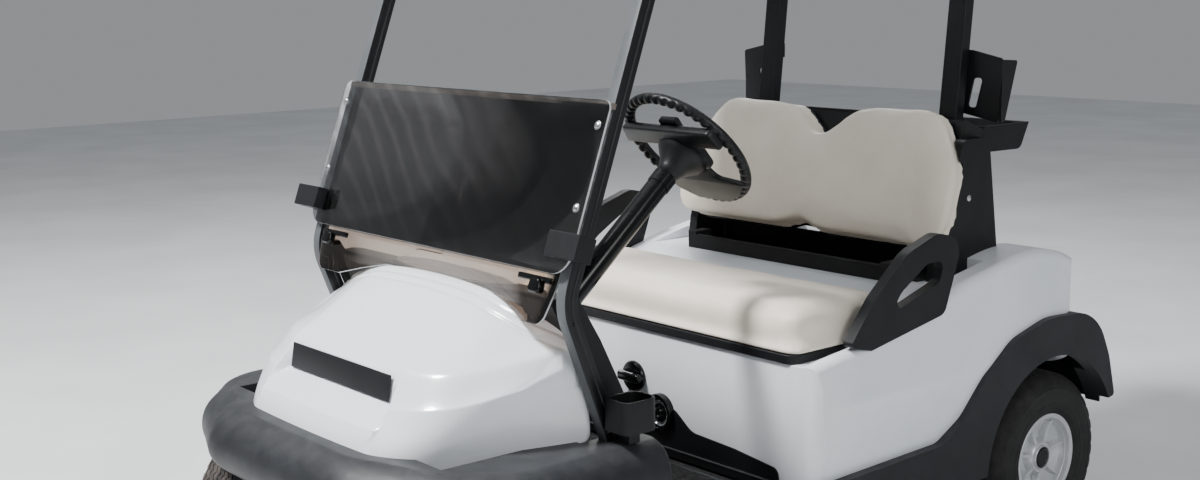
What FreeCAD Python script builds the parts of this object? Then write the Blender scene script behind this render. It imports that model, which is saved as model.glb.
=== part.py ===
import FreeCAD, Part
import math
import os

# Two-seat electric golf cart, in millimetres.
# +X is the cart's left side, -Y its front, +Z up; the origin is on the ground,
# under the middle of the cart.

# Overall sizes
overall_length = 2310.0
overall_width = 1200.0
roof_top = 1745.0
floor_top = 308.0

# Wheels
wheelbase = 1664.0
rear_axle_y = 804.0
track_front = 876.0
track_rear = 978.0
tyre_d = 457.0
tyre_w = 200.0
tyre_seat_r = 112.0
rim_flange_r = 121.0
rim_wall = 5.0
rim_spokes = 7
cap_r = 30.0
rear_well_r = 285.0
front_arch_r = 262.0
house_x = 205.0
house_wall = 6.0
house_clearance = 8.0

# Steering
kingpin_x = 335.0
kingpin_r = 9.0
pin_clearance = 0.05
boss_r = 16.0
stub_r = 14.0
stub_reach = 52.0
steer_limit_deg = 24.0
arm_length = 100.0
arm_inset = 23.0
tie_drift = 9.0
rack_r = 9.0
rack_z = 200.0
column_x = 250.0
column_tilt_deg = 40.8
wheel_centre_y = -177.0
wheel_centre_z = 1105.0
wheel_rim_r = 160.0
wheel_grip_r = 13.0
column_r = 26.0
shaft_r = 12.0
fit_gap = 0.3

# Frame
rail_x = 188.0
rail_w = 50.0
rail_h = 80.0
rail_bottom = 215.0
rail_rise = 110.0
rail_flange = 10.0
rail_web = 12.0

# Front body
skirt_lip_z = 400.0
cowl_base_z = 555.0
cowl_rear_y = -670.0
cowl_wall = 7.0
footwell_half = 470.0
firewall_foot_y = -690.0
fender_rear_y = -545.0

# Front struts and windshield
strut_x = 487.0
strut_w = 28.0
strut_d = 34.0
strut_foot = (-606.0, 520.0)
strut_knee = (-732.0, 852.0)
strut_top_y = -404.0
strut_bend_r = 110.0
strut_groove_w = 9.0
strut_groove_depth = 2.0
pane_half = 511.0
pane_t = 5.0
lower_pane_front = 14.0
upper_pane_back = 30.0
pane_foot_z = 838.0
pane_fold_z = 904.0
pane_top_z = 1243.0

# Seat pod and seats
pod_front_y = -100.0
pod_half = 590.0
pod_sill_z = 345.0
bumper_depth = 150.0
seat_ledge_z = 626.0
deck_z = 727.0
bag_floor_z = 495.0
pan_t = 22.0
seat_inset = 60.0
cushion_front_y = -118.0
cushion_rear_y = 285.0
cushion_top = 748.0
back_tilt_deg = 21.2
back_foot = (475.0, 827.0)
back_front = 38.0
back_rear = 30.0
shell_t = 14.0

# Rear structure
rear_strut_x = 330.0
rear_strut_w = 56.0
rear_strut_d = 34.0
support_x = 440.0
support_t = 30.0
roof_skin = 1690.0
roof_half = 560.0
roof_front_y = -570.0
roof_rear_y = 890.0
roof_wall = 6.0

# Worked out from the sizes above
front_axle_y = rear_axle_y - wheelbase
axle_z = tyre_d / 2
body_front_y = -overall_length / 2
body_rear_y = overall_length / 2
pod_rear_y = body_rear_y - bumper_depth
cushion_half = pod_half - seat_inset
floor_bottom = rail_bottom + rail_h
half_w = overall_width / 2
tilt = math.radians(column_tilt_deg)
strut_top_z = roof_top
tyre_corner = track_front / 2 + tyre_w / 2 - kingpin_x
badge_line = ((body_front_y + 159, 638), (body_front_y + 203, 694))

V = FreeCAD.Vector
X, Y, Z = V(1, 0, 0), V(0, 1, 0), V(0, 0, 1)


def rounded_wire(corners, place):
    """A closed wire through (u, v, radius) corners, with tangent arcs."""
    tangents = []
    count = len(corners)
    for i, (u, v, r) in enumerate(corners):
        here = V(u, v, 0)
        before = V(*corners[i - 1][:2], 0)
        after = V(*corners[(i + 1) % count][:2], 0)
        a, b = (before - here).normalize(), (after - here).normalize()
        if r == 0:
            tangents.append((here, None, here))
            continue
        half = a.getAngle(b) / 2
        reach = r / math.tan(half)
        middle = here + (a + b).normalize() * (r / math.sin(half) - r)
        tangents.append((here + a * reach, middle, here + b * reach))
    edges = []
    for i, (start, middle, end) in enumerate(tangents):
        if middle is not None:
            edges.append(Part.Arc(place(start), place(middle), place(end)).toShape())
        following = tangents[(i + 1) % count][0]
        if (following - end).Length > 1e-4:
            edges.append(Part.makeLine(place(end), place(following)))
    return Part.Wire(edges)


def plate_x(corners, x0, x1):
    """A side-view outline of (y, z, radius) corners, from x0 to x1."""
    wire = rounded_wire(corners, lambda p: V(x0, p.x, p.y))
    return Part.Face(wire).extrude(V(x1 - x0, 0, 0))


def plate_y(corners, y0, y1):
    """A front-view outline of (x, z, radius) corners, from y0 to y1."""
    wire = rounded_wire(corners, lambda p: V(p.x, y0, p.y))
    return Part.Face(wire).extrude(V(0, y1 - y0, 0))


def plate_z(corners, z0, z1):
    """A plan outline of (x, y, radius) corners, from z0 to z1."""
    wire = rounded_wire(corners, lambda p: V(p.x, p.y, z0))
    return Part.Face(wire).extrude(V(0, 0, z1 - z0))


def box(x0, x1, y0, y1, z0, z1):
    return Part.makeBox(x1 - x0, y1 - y0, z1 - z0, V(x0, y0, z0))


def rod(start, end, radius):
    return Part.makeCylinder(radius, (end - start).Length, start, end - start)


def revolve_x(profile, centre):
    """A closed (x, radius) outline turned about the X line through centre."""
    points = [centre + V(x, 0, r) for x, r in profile]
    face = Part.Face(Part.makePolygon(points + points[:1]))
    return face.revolve(centre, X, 360)


def mirror_points(half):
    """A symmetric outline from its right half, listed from front to rear."""
    return half + [(-u, v, r) for u, v, r in reversed(half)]


def mirrored(shape):
    return shape.mirror(V(0, 0, 0), X)


def pair(shape):
    return Part.makeCompound([shape, mirrored(shape)])


def slanted(start, end, depth, offset=0.0):
    """Corners of a strip from start to end (y, z), its front face offset forwards."""
    along = V(end[0] - start[0], end[1] - start[1], 0).normalize()
    front = V(-along.y, along.x, 0)
    low, high = V(*start, 0), V(*end, 0)
    points = [low + front * (offset + depth), low + front * offset,
              high + front * offset, high + front * (offset + depth)]
    return [(p.x, p.y, 0) for p in points]


def tyre_half_chord(z):
    """Half the tyre's length along the cart at height z."""
    return math.sqrt((tyre_d / 2) ** 2 - (z - axle_z) ** 2)


def tyre_reach(z):
    """How far the front tyre's corner comes ahead of its axle at full lock, at height z."""
    lock = math.radians(steer_limit_deg)
    return tyre_corner * math.sin(lock) + tyre_half_chord(z) * math.cos(lock)


# Frame and running gear

def frame_rails():
    """Two I-section rails that rise over the rear axle."""
    low, high = rail_bottom, rail_bottom + rail_h
    front, rear = body_front_y + 170, body_rear_y - 70
    outline = [(front, low, 0), (500, low, 60), (620, low + rail_rise, 60), (rear, low + rail_rise, 0),
               (rear, high + rail_rise, 0), (590, high + rail_rise, 60), (470, high, 60), (front, high, 0)]
    low, high = low + rail_flange, high - rail_flange
    front, rear = front - 5, rear + 5
    hollow = [(front, low, 0), (496, low, 50), (616, low + rail_rise, 50), (rear, low + rail_rise, 0),
              (rear, high + rail_rise, 0), (594, high + rail_rise, 50), (474, high, 50), (front, high, 0)]
    inner, outer = rail_x - rail_w / 2, rail_x + rail_w / 2
    rail = plate_x(outline, inner, outer)
    rail = rail.cut(plate_x(hollow, inner - 1, rail_x - rail_web / 2))
    rail = rail.cut(plate_x(hollow, rail_x + rail_web / 2, outer + 1))
    return pair(rail)


def cross_members():
    """Square tubes that join the rails, each open at its middle."""
    # y, height of the tube's underside
    low, high = rail_bottom + 15, rail_bottom + rail_rise + 15
    places = [(body_front_y + 180, low), (-560, low), (-80, low), (400, low), (body_rear_y - 115, high)]
    span = rail_x - rail_web / 2
    tubes = []
    for y, z in places:
        tube = box(-span, span, y - 25, y + 25, z, z + 50)
        tubes.append(tube.cut(box(-span - 1, span + 1, y - 21, y + 21, z + 4, z + 46)))
    return Part.makeCompound(tubes)


def front_axle():
    """Beam under the rails with a yoke at each end and the steering gear's housing."""
    beam = box(-280, 280, front_axle_y - 30, front_axle_y + 30, 165, rail_bottom)
    beam = beam.cut(box(-270, 270, front_axle_y - 24, front_axle_y + 24, 171, rail_bottom - 6))
    web = box(278, 296, front_axle_y - 16, front_axle_y + 16, 158, 299)
    yoke = web
    for low, high in ((158, 174), (283, 299)):
        ear = box(290, kingpin_x, front_axle_y - 22, front_axle_y + 22, low, high)
        tip = Part.makeCylinder(22, high - low, V(kingpin_x, front_axle_y, low))
        yoke = yoke.fuse(ear).fuse(tip)
    hole = Part.makeCylinder(kingpin_r + pin_clearance, 200, V(kingpin_x, front_axle_y, 140))
    yoke = yoke.cut(hole)
    rack_y = front_axle_y + arm_length - tie_drift
    housing = Part.makeCylinder(20, 230, V(-115, rack_y, rack_z), X)
    for x in (-75, 60):
        housing = housing.fuse(box(x, x + 15, front_axle_y + 28, rack_y, rack_z - 16, rack_z + 12))
    housing = housing.fuse(Part.makeCylinder(17, 34, V(70, rack_y, rack_z)))
    axle = beam.fuse(yoke).fuse(mirrored(yoke)).fuse(housing)
    return axle.cut(Part.makeCylinder(rack_r + pin_clearance, 240, V(-120, rack_y, rack_z), X)).removeSplitter()


def knuckle():
    """Left stub axle on its kingpin, with the steering arm."""
    shape = Part.makeCylinder(boss_r, 283 - 174 - 2 * fit_gap, V(kingpin_x, front_axle_y, 174 + fit_gap))
    shape = shape.fuse(Part.makeCylinder(kingpin_r, 145, V(kingpin_x, front_axle_y, 156)))
    stub_end = V(track_front / 2 + stub_reach, front_axle_y, axle_z)
    shape = shape.fuse(rod(V(kingpin_x, front_axle_y, axle_z), stub_end, stub_r))
    tip_x = kingpin_x - arm_inset
    tip_y = front_axle_y + arm_length
    arm = plate_z([(kingpin_x + 14, front_axle_y, 0), (tip_x + 10, tip_y - 20, 8), (tip_x + 10, tip_y + 10, 8),
                   (tip_x - 10, tip_y + 10, 8), (tip_x - 10, tip_y - 20, 8), (kingpin_x - 14, front_axle_y, 0)],
                  175, 187)
    stud = Part.makeCylinder(6, 34, V(tip_x, tip_y, 175))
    return shape.fuse(arm).fuse(stud).removeSplitter()


def steering_rack():
    """Rack bar with a tie-rod eye round each steering arm's stud."""
    rack_y = front_axle_y + arm_length - tie_drift
    eye_x = kingpin_x - arm_inset
    bar = rod(V(-eye_x + 24, rack_y, rack_z), V(eye_x - 24, rack_y, rack_z), rack_r)
    for side in (-1, 1):
        eye = Part.makeCylinder(27, 15, V(side * eye_x, rack_y, rack_z - 7.5))
        bar = bar.fuse(eye)
    for side in (-1, 1):
        bar = bar.cut(Part.makeCylinder(20.5, 40, V(side * eye_x, rack_y, rack_z - 20)))
    return bar.removeSplitter()


def rear_axle():
    """Axle tube with the differential and the electric motor behind it."""
    end = track_rear / 2 + stub_reach
    axle = rod(V(-400, rear_axle_y, axle_z), V(400, rear_axle_y, axle_z), 33)
    axle = axle.fuse(rod(V(-end, rear_axle_y, axle_z), V(end, rear_axle_y, axle_z), stub_r))
    for side in (-1, 1):
        axle = axle.fuse(rod(V(side * 392, rear_axle_y, axle_z), V(side * 400, rear_axle_y, axle_z), 80))
    # x, radius of the differential's round housing
    bulb = [(-70, 0), (-70, 62), (-45, 95), (45, 95), (70, 62), (70, 0)]
    axle = axle.fuse(revolve_x(bulb, V(40, rear_axle_y, axle_z + 5)))
    motor = rod(V(25, rear_axle_y + 40, 262), V(25, rear_axle_y + 200, 262), 95)
    return axle.fuse(motor).removeSplitter()


def suspension():
    """Leaf springs under the rear axle and a coil-over damper at each wheel."""
    leaves = []
    x = 340.0
    # how far a leaf goes ahead of the axle and behind it, height of its underside
    for ahead, behind, low in ((330, 278, axle_z - 46), (250, 210, axle_z - 53), (160, 140, axle_z - 60)):
        leaves.append(box(x - 24, x + 24, rear_axle_y - ahead, rear_axle_y + behind, low, low + 7))
    spring = leaves[0].fuse(leaves[1]).fuse(leaves[2])
    seat = box(x - 24, x + 24, rear_axle_y - 40, rear_axle_y + 40, axle_z - 40, axle_z - 20)
    spring = spring.fuse(seat.cut(rod(V(0, rear_axle_y, axle_z), V(450, rear_axle_y, axle_z), 33)))
    shackle_z = rail_bottom + rail_rise + 20
    for y in (rear_axle_y - 330, rear_axle_y + 270):
        top = shackle_z if y > rear_axle_y else rail_bottom + 40
        spring = spring.fuse(box(x - 24, x + 24, y, y + 8, axle_z - 46, top))
        spring = spring.fuse(box(rail_x + rail_w / 2, x + 24, y - 12, y + 20, top - 20, top))
    damper_y = front_axle_y
    coil = rod(V(255, damper_y, rail_bottom), V(255, damper_y, 330), 17)
    coil = coil.fuse(rod(V(255, damper_y, 330), V(255, damper_y, 470), 9))
    for turn in range(7):
        z = 325 + turn * 20
        coil = coil.fuse(rod(V(255, damper_y, z), V(255, damper_y, z + 11), 27))
    return Part.makeCompound([spring, mirrored(spring), coil, mirrored(coil)])


def tyre(x, y):
    """Low-pressure turf tyre; the outline is (x, radius) from the wheel's middle."""
    w, r = tyre_w / 2, tyre_d / 2
    bead = tyre_seat_r
    half = [(85.7, bead), (87.7, rim_flange_r + 0.3), (93, bead + 18), (w, bead + 45), (w - 2, r - 42),
            (w - 12, r - 14), (w - 24, r - 4)]
    grooves = [(56, r), (55, r - 7), (48, r - 7), (47, r), (20, r), (19, r - 7), (12, r - 7), (11, r)]
    profile = half + grooves
    profile = profile + [(-a, b) for a, b in reversed(profile)]
    return revolve_x(profile, V(x, y, axle_z))


def wheel_rim(x, y, side):
    """Steel wheel with a spoked cover; side is +1 with its face towards +X."""
    t = rim_wall
    seat = tyre_seat_r - fit_gap
    outline = [(-86, seat), (86, seat), (88, rim_flange_r), (91, rim_flange_r), (91, seat - t),
               (70, seat - t - 6), (60, 92), (52, 60), (58, 46), (74, 40), (78, cap_r), (82, cap_r - 4), (82, 0),
               (46, 0), (46, 40), (40, 52), (40, 80), (44, 92), (52, seat - t - 8),
               (-60, seat - t - 8), (-70, seat - t), (-91, seat - t), (-91, rim_flange_r), (-88, rim_flange_r)]
    centre = V(x, y, axle_z)
    rim = revolve_x([(side * a, b) for a, b in outline], centre)
    for spoke in range(rim_spokes):
        # x out from the wheel's middle, radius: the spoke's ridge over the dished cover
        ridge = [(50, 36), (76, 40), (71, 70), (74, 99), (58, 98)]
        points = [centre + V(side * a, 0, b) for a, b in ridge]
        face = Part.Face(Part.makePolygon(points + points[:1]))
        blade = face.extrude(V(0, 7, 0)).fuse(face.extrude(V(0, -7, 0)))
        blade.rotate(centre, X, spoke * 360 / rim_spokes)
        rim = rim.fuse(blade)
    bore = rod(V(x - side * 100, y, axle_z), V(x + side * (stub_reach + fit_gap), y, axle_z), stub_r + pin_clearance)
    return rim.cut(bore).removeSplitter()


# Front body

def plan(section, y_rear, corner_r, wall=0.0, slope_wall=0.0):
    """Plan wire of one section of the nose back to y_rear, moved in by its wall."""
    z, y_front, x_corner, y_corner, x_side, y_side, x_rear = section
    ahead = body_front_y + wall + slope_wall
    half = [((x_corner - wall) * 0.52, ahead + y_front, 200), (x_corner - wall, ahead + y_corner, corner_r),
            (x_side - wall, body_front_y + wall + y_side, corner_r), (x_rear - wall, y_rear, 6)]
    return rounded_wire(mirror_points(half), lambda p: V(p.x, p.y, z - (wall if z > cowl_base_z else 0)))


# Sections of the cowl: height, front, corner x and y, side x and y, rear x; each y is from the cart's front
cowl_sections = [
    (cowl_base_z, 81, 385, 130, 456, 255, 468),
    (620, 133, 385, 180, 454, 295, 466),
    (690, 192, 382, 233, 450, 333, 463),
    (760, 252, 375, 285, 444, 363, 460),
    (810, 300, 360, 325, 430, 393, 452),
    (842, 335, 325, 355, 402, 420, 436),
    (862, 380, 270, 393, 350, 443, 405),
]


def cowl():
    """White nose: a smooth loft, hollow below and open behind, with a badge recess."""
    outer = [plan(section, cowl_rear_y, 40) for section in cowl_sections]
    inner = [plan(section, cowl_rear_y + 5, 34, cowl_wall, 3) for section in cowl_sections]
    inner[0].translate(V(0, 0, -1))
    shell = Part.makeLoft(outer, True, False).cut(Part.makeLoft(inner, True, False))
    behind_pane = plate_x([(cowl_rear_y, 735, 0), (-600, 735, 0), (-600, 900, 0), (-735, 900, 0)], -half_w, half_w)
    return shell.cut(behind_pane).cut(badge_block(3.0, 0.6)).removeSplitter()


def badge_block(depth, margin):
    """The badge's slab on the cowl's sloping face, sunk by depth."""
    outline = slanted(*badge_line, 40, -depth)
    return plate_x(outline, -205 - margin, 205 + margin)


def badge_plate():
    """Bare black plate in the cowl's recess."""
    return plate_x(slanted(*badge_line, 2.6, -2.8), -205, 205)


# Sections of the bumper and fenders, with the cowl's columns
skirt_sections = [
    (floor_top + fit_gap, 115, 500, 145, 592, 225, 592),
    (skirt_lip_z, 61, 500, 101, 598, 170, 598),
    (455, 2.2, 508, 65, half_w, 170, half_w),
    (505, 7, 500, 75, 596, 190, 596),
    (540, 37, 470, 107, 575, 225, 575),
    (cowl_base_z, 70, 440, 135, 540, 260, 540),
]


def wheel_house(margin, x_end):
    """Room for the left front tyre at any lock, grown by margin, out to x_end."""
    rear = front_axle_y + tyre_reach(floor_bottom) + house_clearance + margin
    inner = house_x - margin
    low = box(inner, x_end, body_front_y - 95, rear, 100, skirt_lip_z + margin)
    sweep_r = math.hypot(tyre_corner, tyre_half_chord(skirt_lip_z)) + house_clearance + margin
    middle = Part.makeCylinder(sweep_r, tyre_d + house_clearance + 2 * margin - skirt_lip_z,
                               V(kingpin_x, front_axle_y, skirt_lip_z - margin))
    middle = middle.common(box(inner, x_end, body_front_y - 95, -400, 300, 600))
    arch = rod(V(inner, front_axle_y, axle_z), V(x_end, front_axle_y, axle_z), front_arch_r + margin)
    return low.fuse(middle).fuse(arch)


def front_skirt():
    """Black bumper and fenders in one moulding, with wheel arches and a footwell."""
    wires = [plan(section, fender_rear_y, 60) for section in skirt_sections]
    skirt = Part.makeLoft(wires, True, False)
    skirt = skirt.cut(box(-half_w, half_w, body_front_y - 50, front_axle_y, 200, skirt_lip_z))
    belly = plate_x([(body_front_y + 110, 200, 0), (body_front_y + 110, 500, 30), (cowl_rear_y - 40, 545, 10),
                     (cowl_rear_y - 40, 200, 0)], -house_x + house_wall, house_x - house_wall)
    skirt = skirt.cut(belly)
    footwell = plate_x([(firewall_foot_y, 200, 0), (firewall_foot_y, floor_bottom, 0),
                        (cowl_rear_y - 15, cowl_base_z + 5, 0), (-400, cowl_base_z + 5, 0), (-400, 200, 0)],
                       -footwell_half, footwell_half)
    house = wheel_house(house_wall, footwell_half + 10)
    skirt = skirt.cut(footwell.cut(house).cut(mirrored(house)))
    tyre_room = wheel_house(0, 556)
    opening = rod(V(550, front_axle_y, axle_z), V(650, front_axle_y, axle_z), front_arch_r)
    opening = opening.common(box(550, 650, front_axle_y - 143, -400, 100, 600))
    for room in (tyre_room, opening):
        skirt = skirt.cut(room).cut(mirrored(room))
    return skirt.cut(box(-430, 430, body_front_y + 155, cowl_rear_y, 530, 600))


def dash():
    """Black fascia across the cab with a glove pocket and two cup wells."""
    front = cowl_rear_y + 0.5
    outline = [(front, 560, 0), (front, 735, 0), (-712, 850, 8), (-650, 850, 12), (-605, 800, 30), (-575, 735, 15),
               (-560, 725, 15), (-545, 680, 20), (-600, 560, 10)]
    edge = plate_z([(-370, -760, 0), (370, -760, 0), (425, -690, 0), (430, -668, 0), (300, -560, 40),
                    (-300, -560, 40), (-430, -668, 0), (-425, -690, 0)], 550, 900)
    body = plate_x(outline, -footwell_half + 4, footwell_half - 4).common(edge)
    body = body.cut(box(-290, -100, -655, -500, 752, 812))
    for x in (-45, 55):
        body = body.cut(Part.makeCylinder(38, 90, V(x, -615, 690)))
    return body.cut(box(-90, 100, -655, -500, 745, 800))


def side_panels():
    """Black gusset between each front strut and the dash."""
    front = cowl_rear_y + 0.6
    outline = [(-721.5, 868, 0), (-690, 868, 10), (-627, 764, 60), (-576, 662, 30), (-528, 561, 0), (-600, 561, 0),
               (front, 700, 0), (front, 735, 0)]
    side = strut_x - strut_w / 2 - fit_gap
    return pair(plate_x(outline, side - 18, side))


def bottle_holders():
    """Open cup on a foot behind each front strut."""
    side = strut_x + strut_w / 2 + fit_gap
    outer = [(side, -650, 12), (578, -650, 20), (578, -560, 25), (side, -560, 25)]
    inner = [(side + 6, -644, 8), (572, -644, 16), (572, -566, 20), (side + 6, -566, 20)]
    cup = plate_z(outer, 583, 652).cut(plate_z(inner, 589, 660))
    foot = box(520, 550, -620, -590, cowl_base_z + 0.5, 584)
    return pair(cup.fuse(foot))


def strut_strip(half, foot_r):
    """Side outline of a strip along the strut's bent centre line, half its depth to each side."""
    (fy, fz), (ky, kz) = strut_foot, strut_knee
    path = [(fy, fz), (ky, kz), (strut_top_y, strut_top_z)]
    low = V(ky - fy, kz - fz, 0).normalize()
    high = V(strut_top_y - ky, strut_top_z - kz, 0).normalize()
    front_low, front_high = V(-low.y, low.x, 0), V(-high.y, high.x, 0)
    knee_out = (front_low + front_high).normalize() * (half / math.cos(low.getAngle(high) / 2))
    points = []
    for sign in (1, -1):
        line = [V(*path[0], 0) + front_low * half * sign, V(*path[1], 0) + knee_out * sign,
                V(*path[2], 0) + front_high * half * sign]
        radii = [foot_r, strut_bend_r + sign * half, 0]
        run = [(p.x, p.y, r) for p, r in zip(line, radii)]
        points += run if sign == 1 else run[::-1]
    return points


def front_struts():
    """Rectangular tubes from the fenders to the roof, bent once at the dash, with a groove along each side."""
    inner, outer = strut_x - strut_w / 2, strut_x + strut_w / 2
    strut = plate_x(strut_strip(strut_d / 2, 5), inner, outer)
    groove = strut_strip(strut_groove_w / 2, 0)
    for low, high in ((inner - 1, inner + strut_groove_depth), (outer - strut_groove_depth, outer + 1)):
        strut = strut.cut(plate_x(groove, low, high))
    return pair(strut)


def strut_line(z):
    """Front face of the upper strut at height z, as (y, z)."""
    (ky, kz) = strut_knee
    slope = (strut_top_y - ky) / (strut_top_z - kz)
    return ky + slope * (z - kz), z


def windshield_lower():
    """Fixed pane between the struts, narrowed to its foot and cut to the cowl."""
    side = strut_x - strut_w / 2 - 0.5
    outline = slanted(strut_line(pane_foot_z), strut_line(pane_top_z), pane_t, lower_pane_front - pane_t)
    narrowed = plate_y([(-side, pane_fold_z, 20), (-438, pane_foot_z - 3, 45), (438, pane_foot_z - 3, 45),
                        (side, pane_fold_z, 20), (side, 1300, 0), (-side, 1300, 0)], -900, -400)
    return plate_x(outline, -side, side).common(narrowed)


def windshield_upper():
    """Hinged pane, folded down in front of the fixed one and the struts."""
    outline = slanted(strut_line(pane_fold_z), strut_line(pane_top_z), pane_t, upper_pane_back)
    low, high = pane_fold_z + 10, pane_top_z + 12
    corners = plate_y([(-pane_half, low, 50), (pane_half, low, 50), (pane_half, high, 22), (-pane_half, high, 22)],
                      -900, -400)
    return plate_x(outline, -pane_half, pane_half).common(corners)


def windshield_clips():
    """Rubber catches on the struts that hold the folded pane, and the hinge strip on top."""
    front = strut_d / 2 + fit_gap
    catch = plate_x(slanted(strut_line(pane_fold_z + 30), strut_line(pane_fold_z + 79), 46, front), 458, 555)
    pane_room = plate_x(slanted(strut_line(900), strut_line(1100), pane_t + 0.4, upper_pane_back - 0.2), 0,
                        pane_half + 0.2)
    catch = catch.cut(pane_room)
    hinge_depth = upper_pane_back - lower_pane_front - 2 * fit_gap
    hinge = plate_x(slanted(strut_line(pane_top_z - 14), strut_line(pane_top_z - 2), hinge_depth,
                            lower_pane_front + fit_gap), -470, 470)
    return Part.makeCompound([catch, mirrored(catch), hinge])


# Steering column and wheel

def column_point(distance):
    """A point on the steering axis, distance below the wheel's centre."""
    return V(column_x, wheel_centre_y - distance * math.cos(tilt), wheel_centre_z - distance * math.sin(tilt))


def steering_column():
    """Tube with a collar and a shaft at its head, down to the gear under the floor."""
    column = rod(column_point(620), column_point(115), column_r)
    collar = rod(column_point(121), column_point(90), column_r + 2)
    shaft = rod(column_point(95), column_point(68), shaft_r)
    gear = V(78, front_axle_y + arm_length - tie_drift, rack_z + 34)
    lower = rod(column_point(618), gear, 11)
    return column.fuse(collar).fuse(shaft).fuse(lower).removeSplitter()


def steering_wheel():
    """Rim with a broad bar, a clipboard and a flared plate on the hub's bell."""
    centre = column_point(0)
    axis = (column_point(0) - column_point(1)).normalize()
    rim = Part.makeTorus(wheel_rim_r, wheel_grip_r)
    # radius, height on the wheel's axis: the bell under the hub
    bell = [(0, -89.6), (25, -89.6), (34, -59.6), (62, -25.6), (62, -10), (0, -10)]
    points = [V(r, 0, z) for r, z in bell]
    shape = rim.fuse(Part.Face(Part.makePolygon(points + points[:1])).revolve(V(0, 0, 0), Z, 360))
    # seen from the driver, the wheel's top towards -v
    bar = [(-138, -85, 0), (138, -85, 0), (156, -35, 0), (-156, -35, 0)]
    flare = [(30, 10, 0), (58, 80, 25), (133, 92, 6), (95, 128, 0), (50, 152, 0)]
    board = [(-62, -60, 12), (62, -60, 12), (62, 50, 16), (-62, 50, 16)]
    lever = [(-30, -95, 10), (30, -95, 10), (30, -55, 4), (-30, -55, 4)]
    flare = flare + [(-u, v, r) for u, v, r in reversed(flare)]
    for outline, low, high in ((bar, -28, -4), (flare, -16, -4), (board, -10, 6), (lever, -6, 12)):
        shape = shape.fuse(plate_z(outline, low, high))
    shape = shape.cut(Part.makeCylinder(6, 30, V(0, 118, -25)))
    shape = shape.cut(Part.makeCylinder(shaft_r + pin_clearance, 23, V(0, 0, -90)))
    # turn the wheel's own Z onto the column, its top towards the front
    turn = FreeCAD.Rotation(X, math.degrees(math.atan2(-axis.y, axis.z)))
    shape.Placement = FreeCAD.Placement(centre, turn)
    return shape.removeSplitter()


# Cab floor, pod and seats

def floor_panel():
    """Ribbed footboard on the rails."""
    house_rear = front_axle_y + tyre_reach(floor_bottom) + house_clearance
    # half width, front and rear of the rectangles that make up the board
    rectangles = [(560, fender_rear_y + 1, pod_front_y + 20), (footwell_half - 1, house_rear + 1, fender_rear_y + 20),
                  (house_x - house_wall - 1, firewall_foot_y + 1, house_rear + 20)]
    boards = [box(-x, x, y0, y1, floor_bottom, floor_top) for x, y0, y1 in rectangles]
    board = boards[0].fuse(boards[1:])
    for rib in range(22):
        x = -420 + rib * 40
        board = board.cut(box(x, x + 6, fender_rear_y + 10, pod_front_y - 60, floor_top - 3, floor_top + 1))
    return board.removeSplitter()


# Seat pod sections along the cart: y, height of its top at the side
pod_sections = [(pod_front_y, 624), (50, 645), (200, 674), (420, 737), (600, 773), (780, 790),
                (pod_rear_y - 125, 770), (pod_rear_y - 50, 727), (pod_rear_y, 645)]


def rear_body():
    """White seat pod: rising side ledges, battery bay, wheel wells and bag well."""
    wires = []
    for y, top in pod_sections:
        half = [(pod_half - 15, pod_sill_z, 8), (pod_half, 520, 120), (pod_half - 22, top, 26)]
        section = half + [(-x, z, r) for x, z, r in reversed(half)]
        wires.append(rounded_wire(section, lambda p, y=y: V(p.x, y, p.y)))
    pod = Part.makeLoft(wires, True, False)
    edge = plate_z([(-pod_half, pod_front_y, 70), (pod_half, pod_front_y, 70), (pod_half, pod_rear_y, 190),
                    (-pod_half, pod_rear_y, 190)], 300, 850)
    pod = pod.common(edge)
    # how far in from the pod's sides a hollow starts, its front and rear, its bottom and top
    hollows = [(50, -200, cushion_rear_y + 15, seat_ledge_z, 900), (85, cushion_rear_y, 610, deck_z, 900),
               (95, pod_front_y + 35, 270, 300, 700), (245, 380, body_rear_y, 300, 470),
               (160, 600, body_rear_y, bag_floor_z, 900)]
    for inset, front, rear, low, high in hollows:
        pod = pod.cut(box(inset - pod_half, pod_half - inset, front, rear, low, high))
    for side in (-1, 1):
        hub = V(side * (pod_half - 240), rear_axle_y, axle_z)
        pod = pod.cut(rod(hub, hub + X * side * 300, rear_well_r))
    return pod


def fender_outline():
    """Side outline of the black flare and the sill in front of it."""
    return [(fender_rear_y + 1, 245, 10), (fender_rear_y + 1, floor_top, 10), (pod_front_y - 2, floor_top, 0),
            (pod_front_y - 2, 352, 0), (340, 366, 60), (425, 415, 100), (505, 507, 120), (625, 582, 160),
            (770, 616, 240), (body_rear_y - 170, 606, 160), (body_rear_y - 103, 470, 100),
            (body_rear_y - 70, 355, 10), (body_rear_y - 115, 348, 0), (800, 340, 0), (700, 245, 0)]


def rear_fenders():
    """Black wheel-arch flare and sill on each side."""
    flare = plate_x(fender_outline(), 560.5, half_w)
    hub = V(300, rear_axle_y, axle_z)
    flare = flare.cut(rod(hub, hub + X * 400, rear_well_r - 4))
    edge = plate_z([(-half_w, -700, 0), (half_w, -700, 0), (half_w, body_rear_y, 80), (-half_w, body_rear_y, 80)],
                   100, 800)
    return flare.common(edge)


def rear_bumper():
    """Black rear moulding between the flares."""
    front, side, rear = pod_rear_y + 0.5, body_rear_y - 45, body_rear_y
    outline = [(-575, front, 30), (575, front, 30), (560, side, 80), (300, rear, 200), (-300, rear, 200),
               (-560, side, 80)]
    bumper = plate_z(outline, 330, bag_floor_z)
    bumper = bumper.cut(box(-520, 520, pod_rear_y, body_rear_y - 50, 300, 470))
    return bumper.cut(rod(V(-700, rear_axle_y, axle_z), V(700, rear_axle_y, axle_z), rear_well_r))


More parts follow.
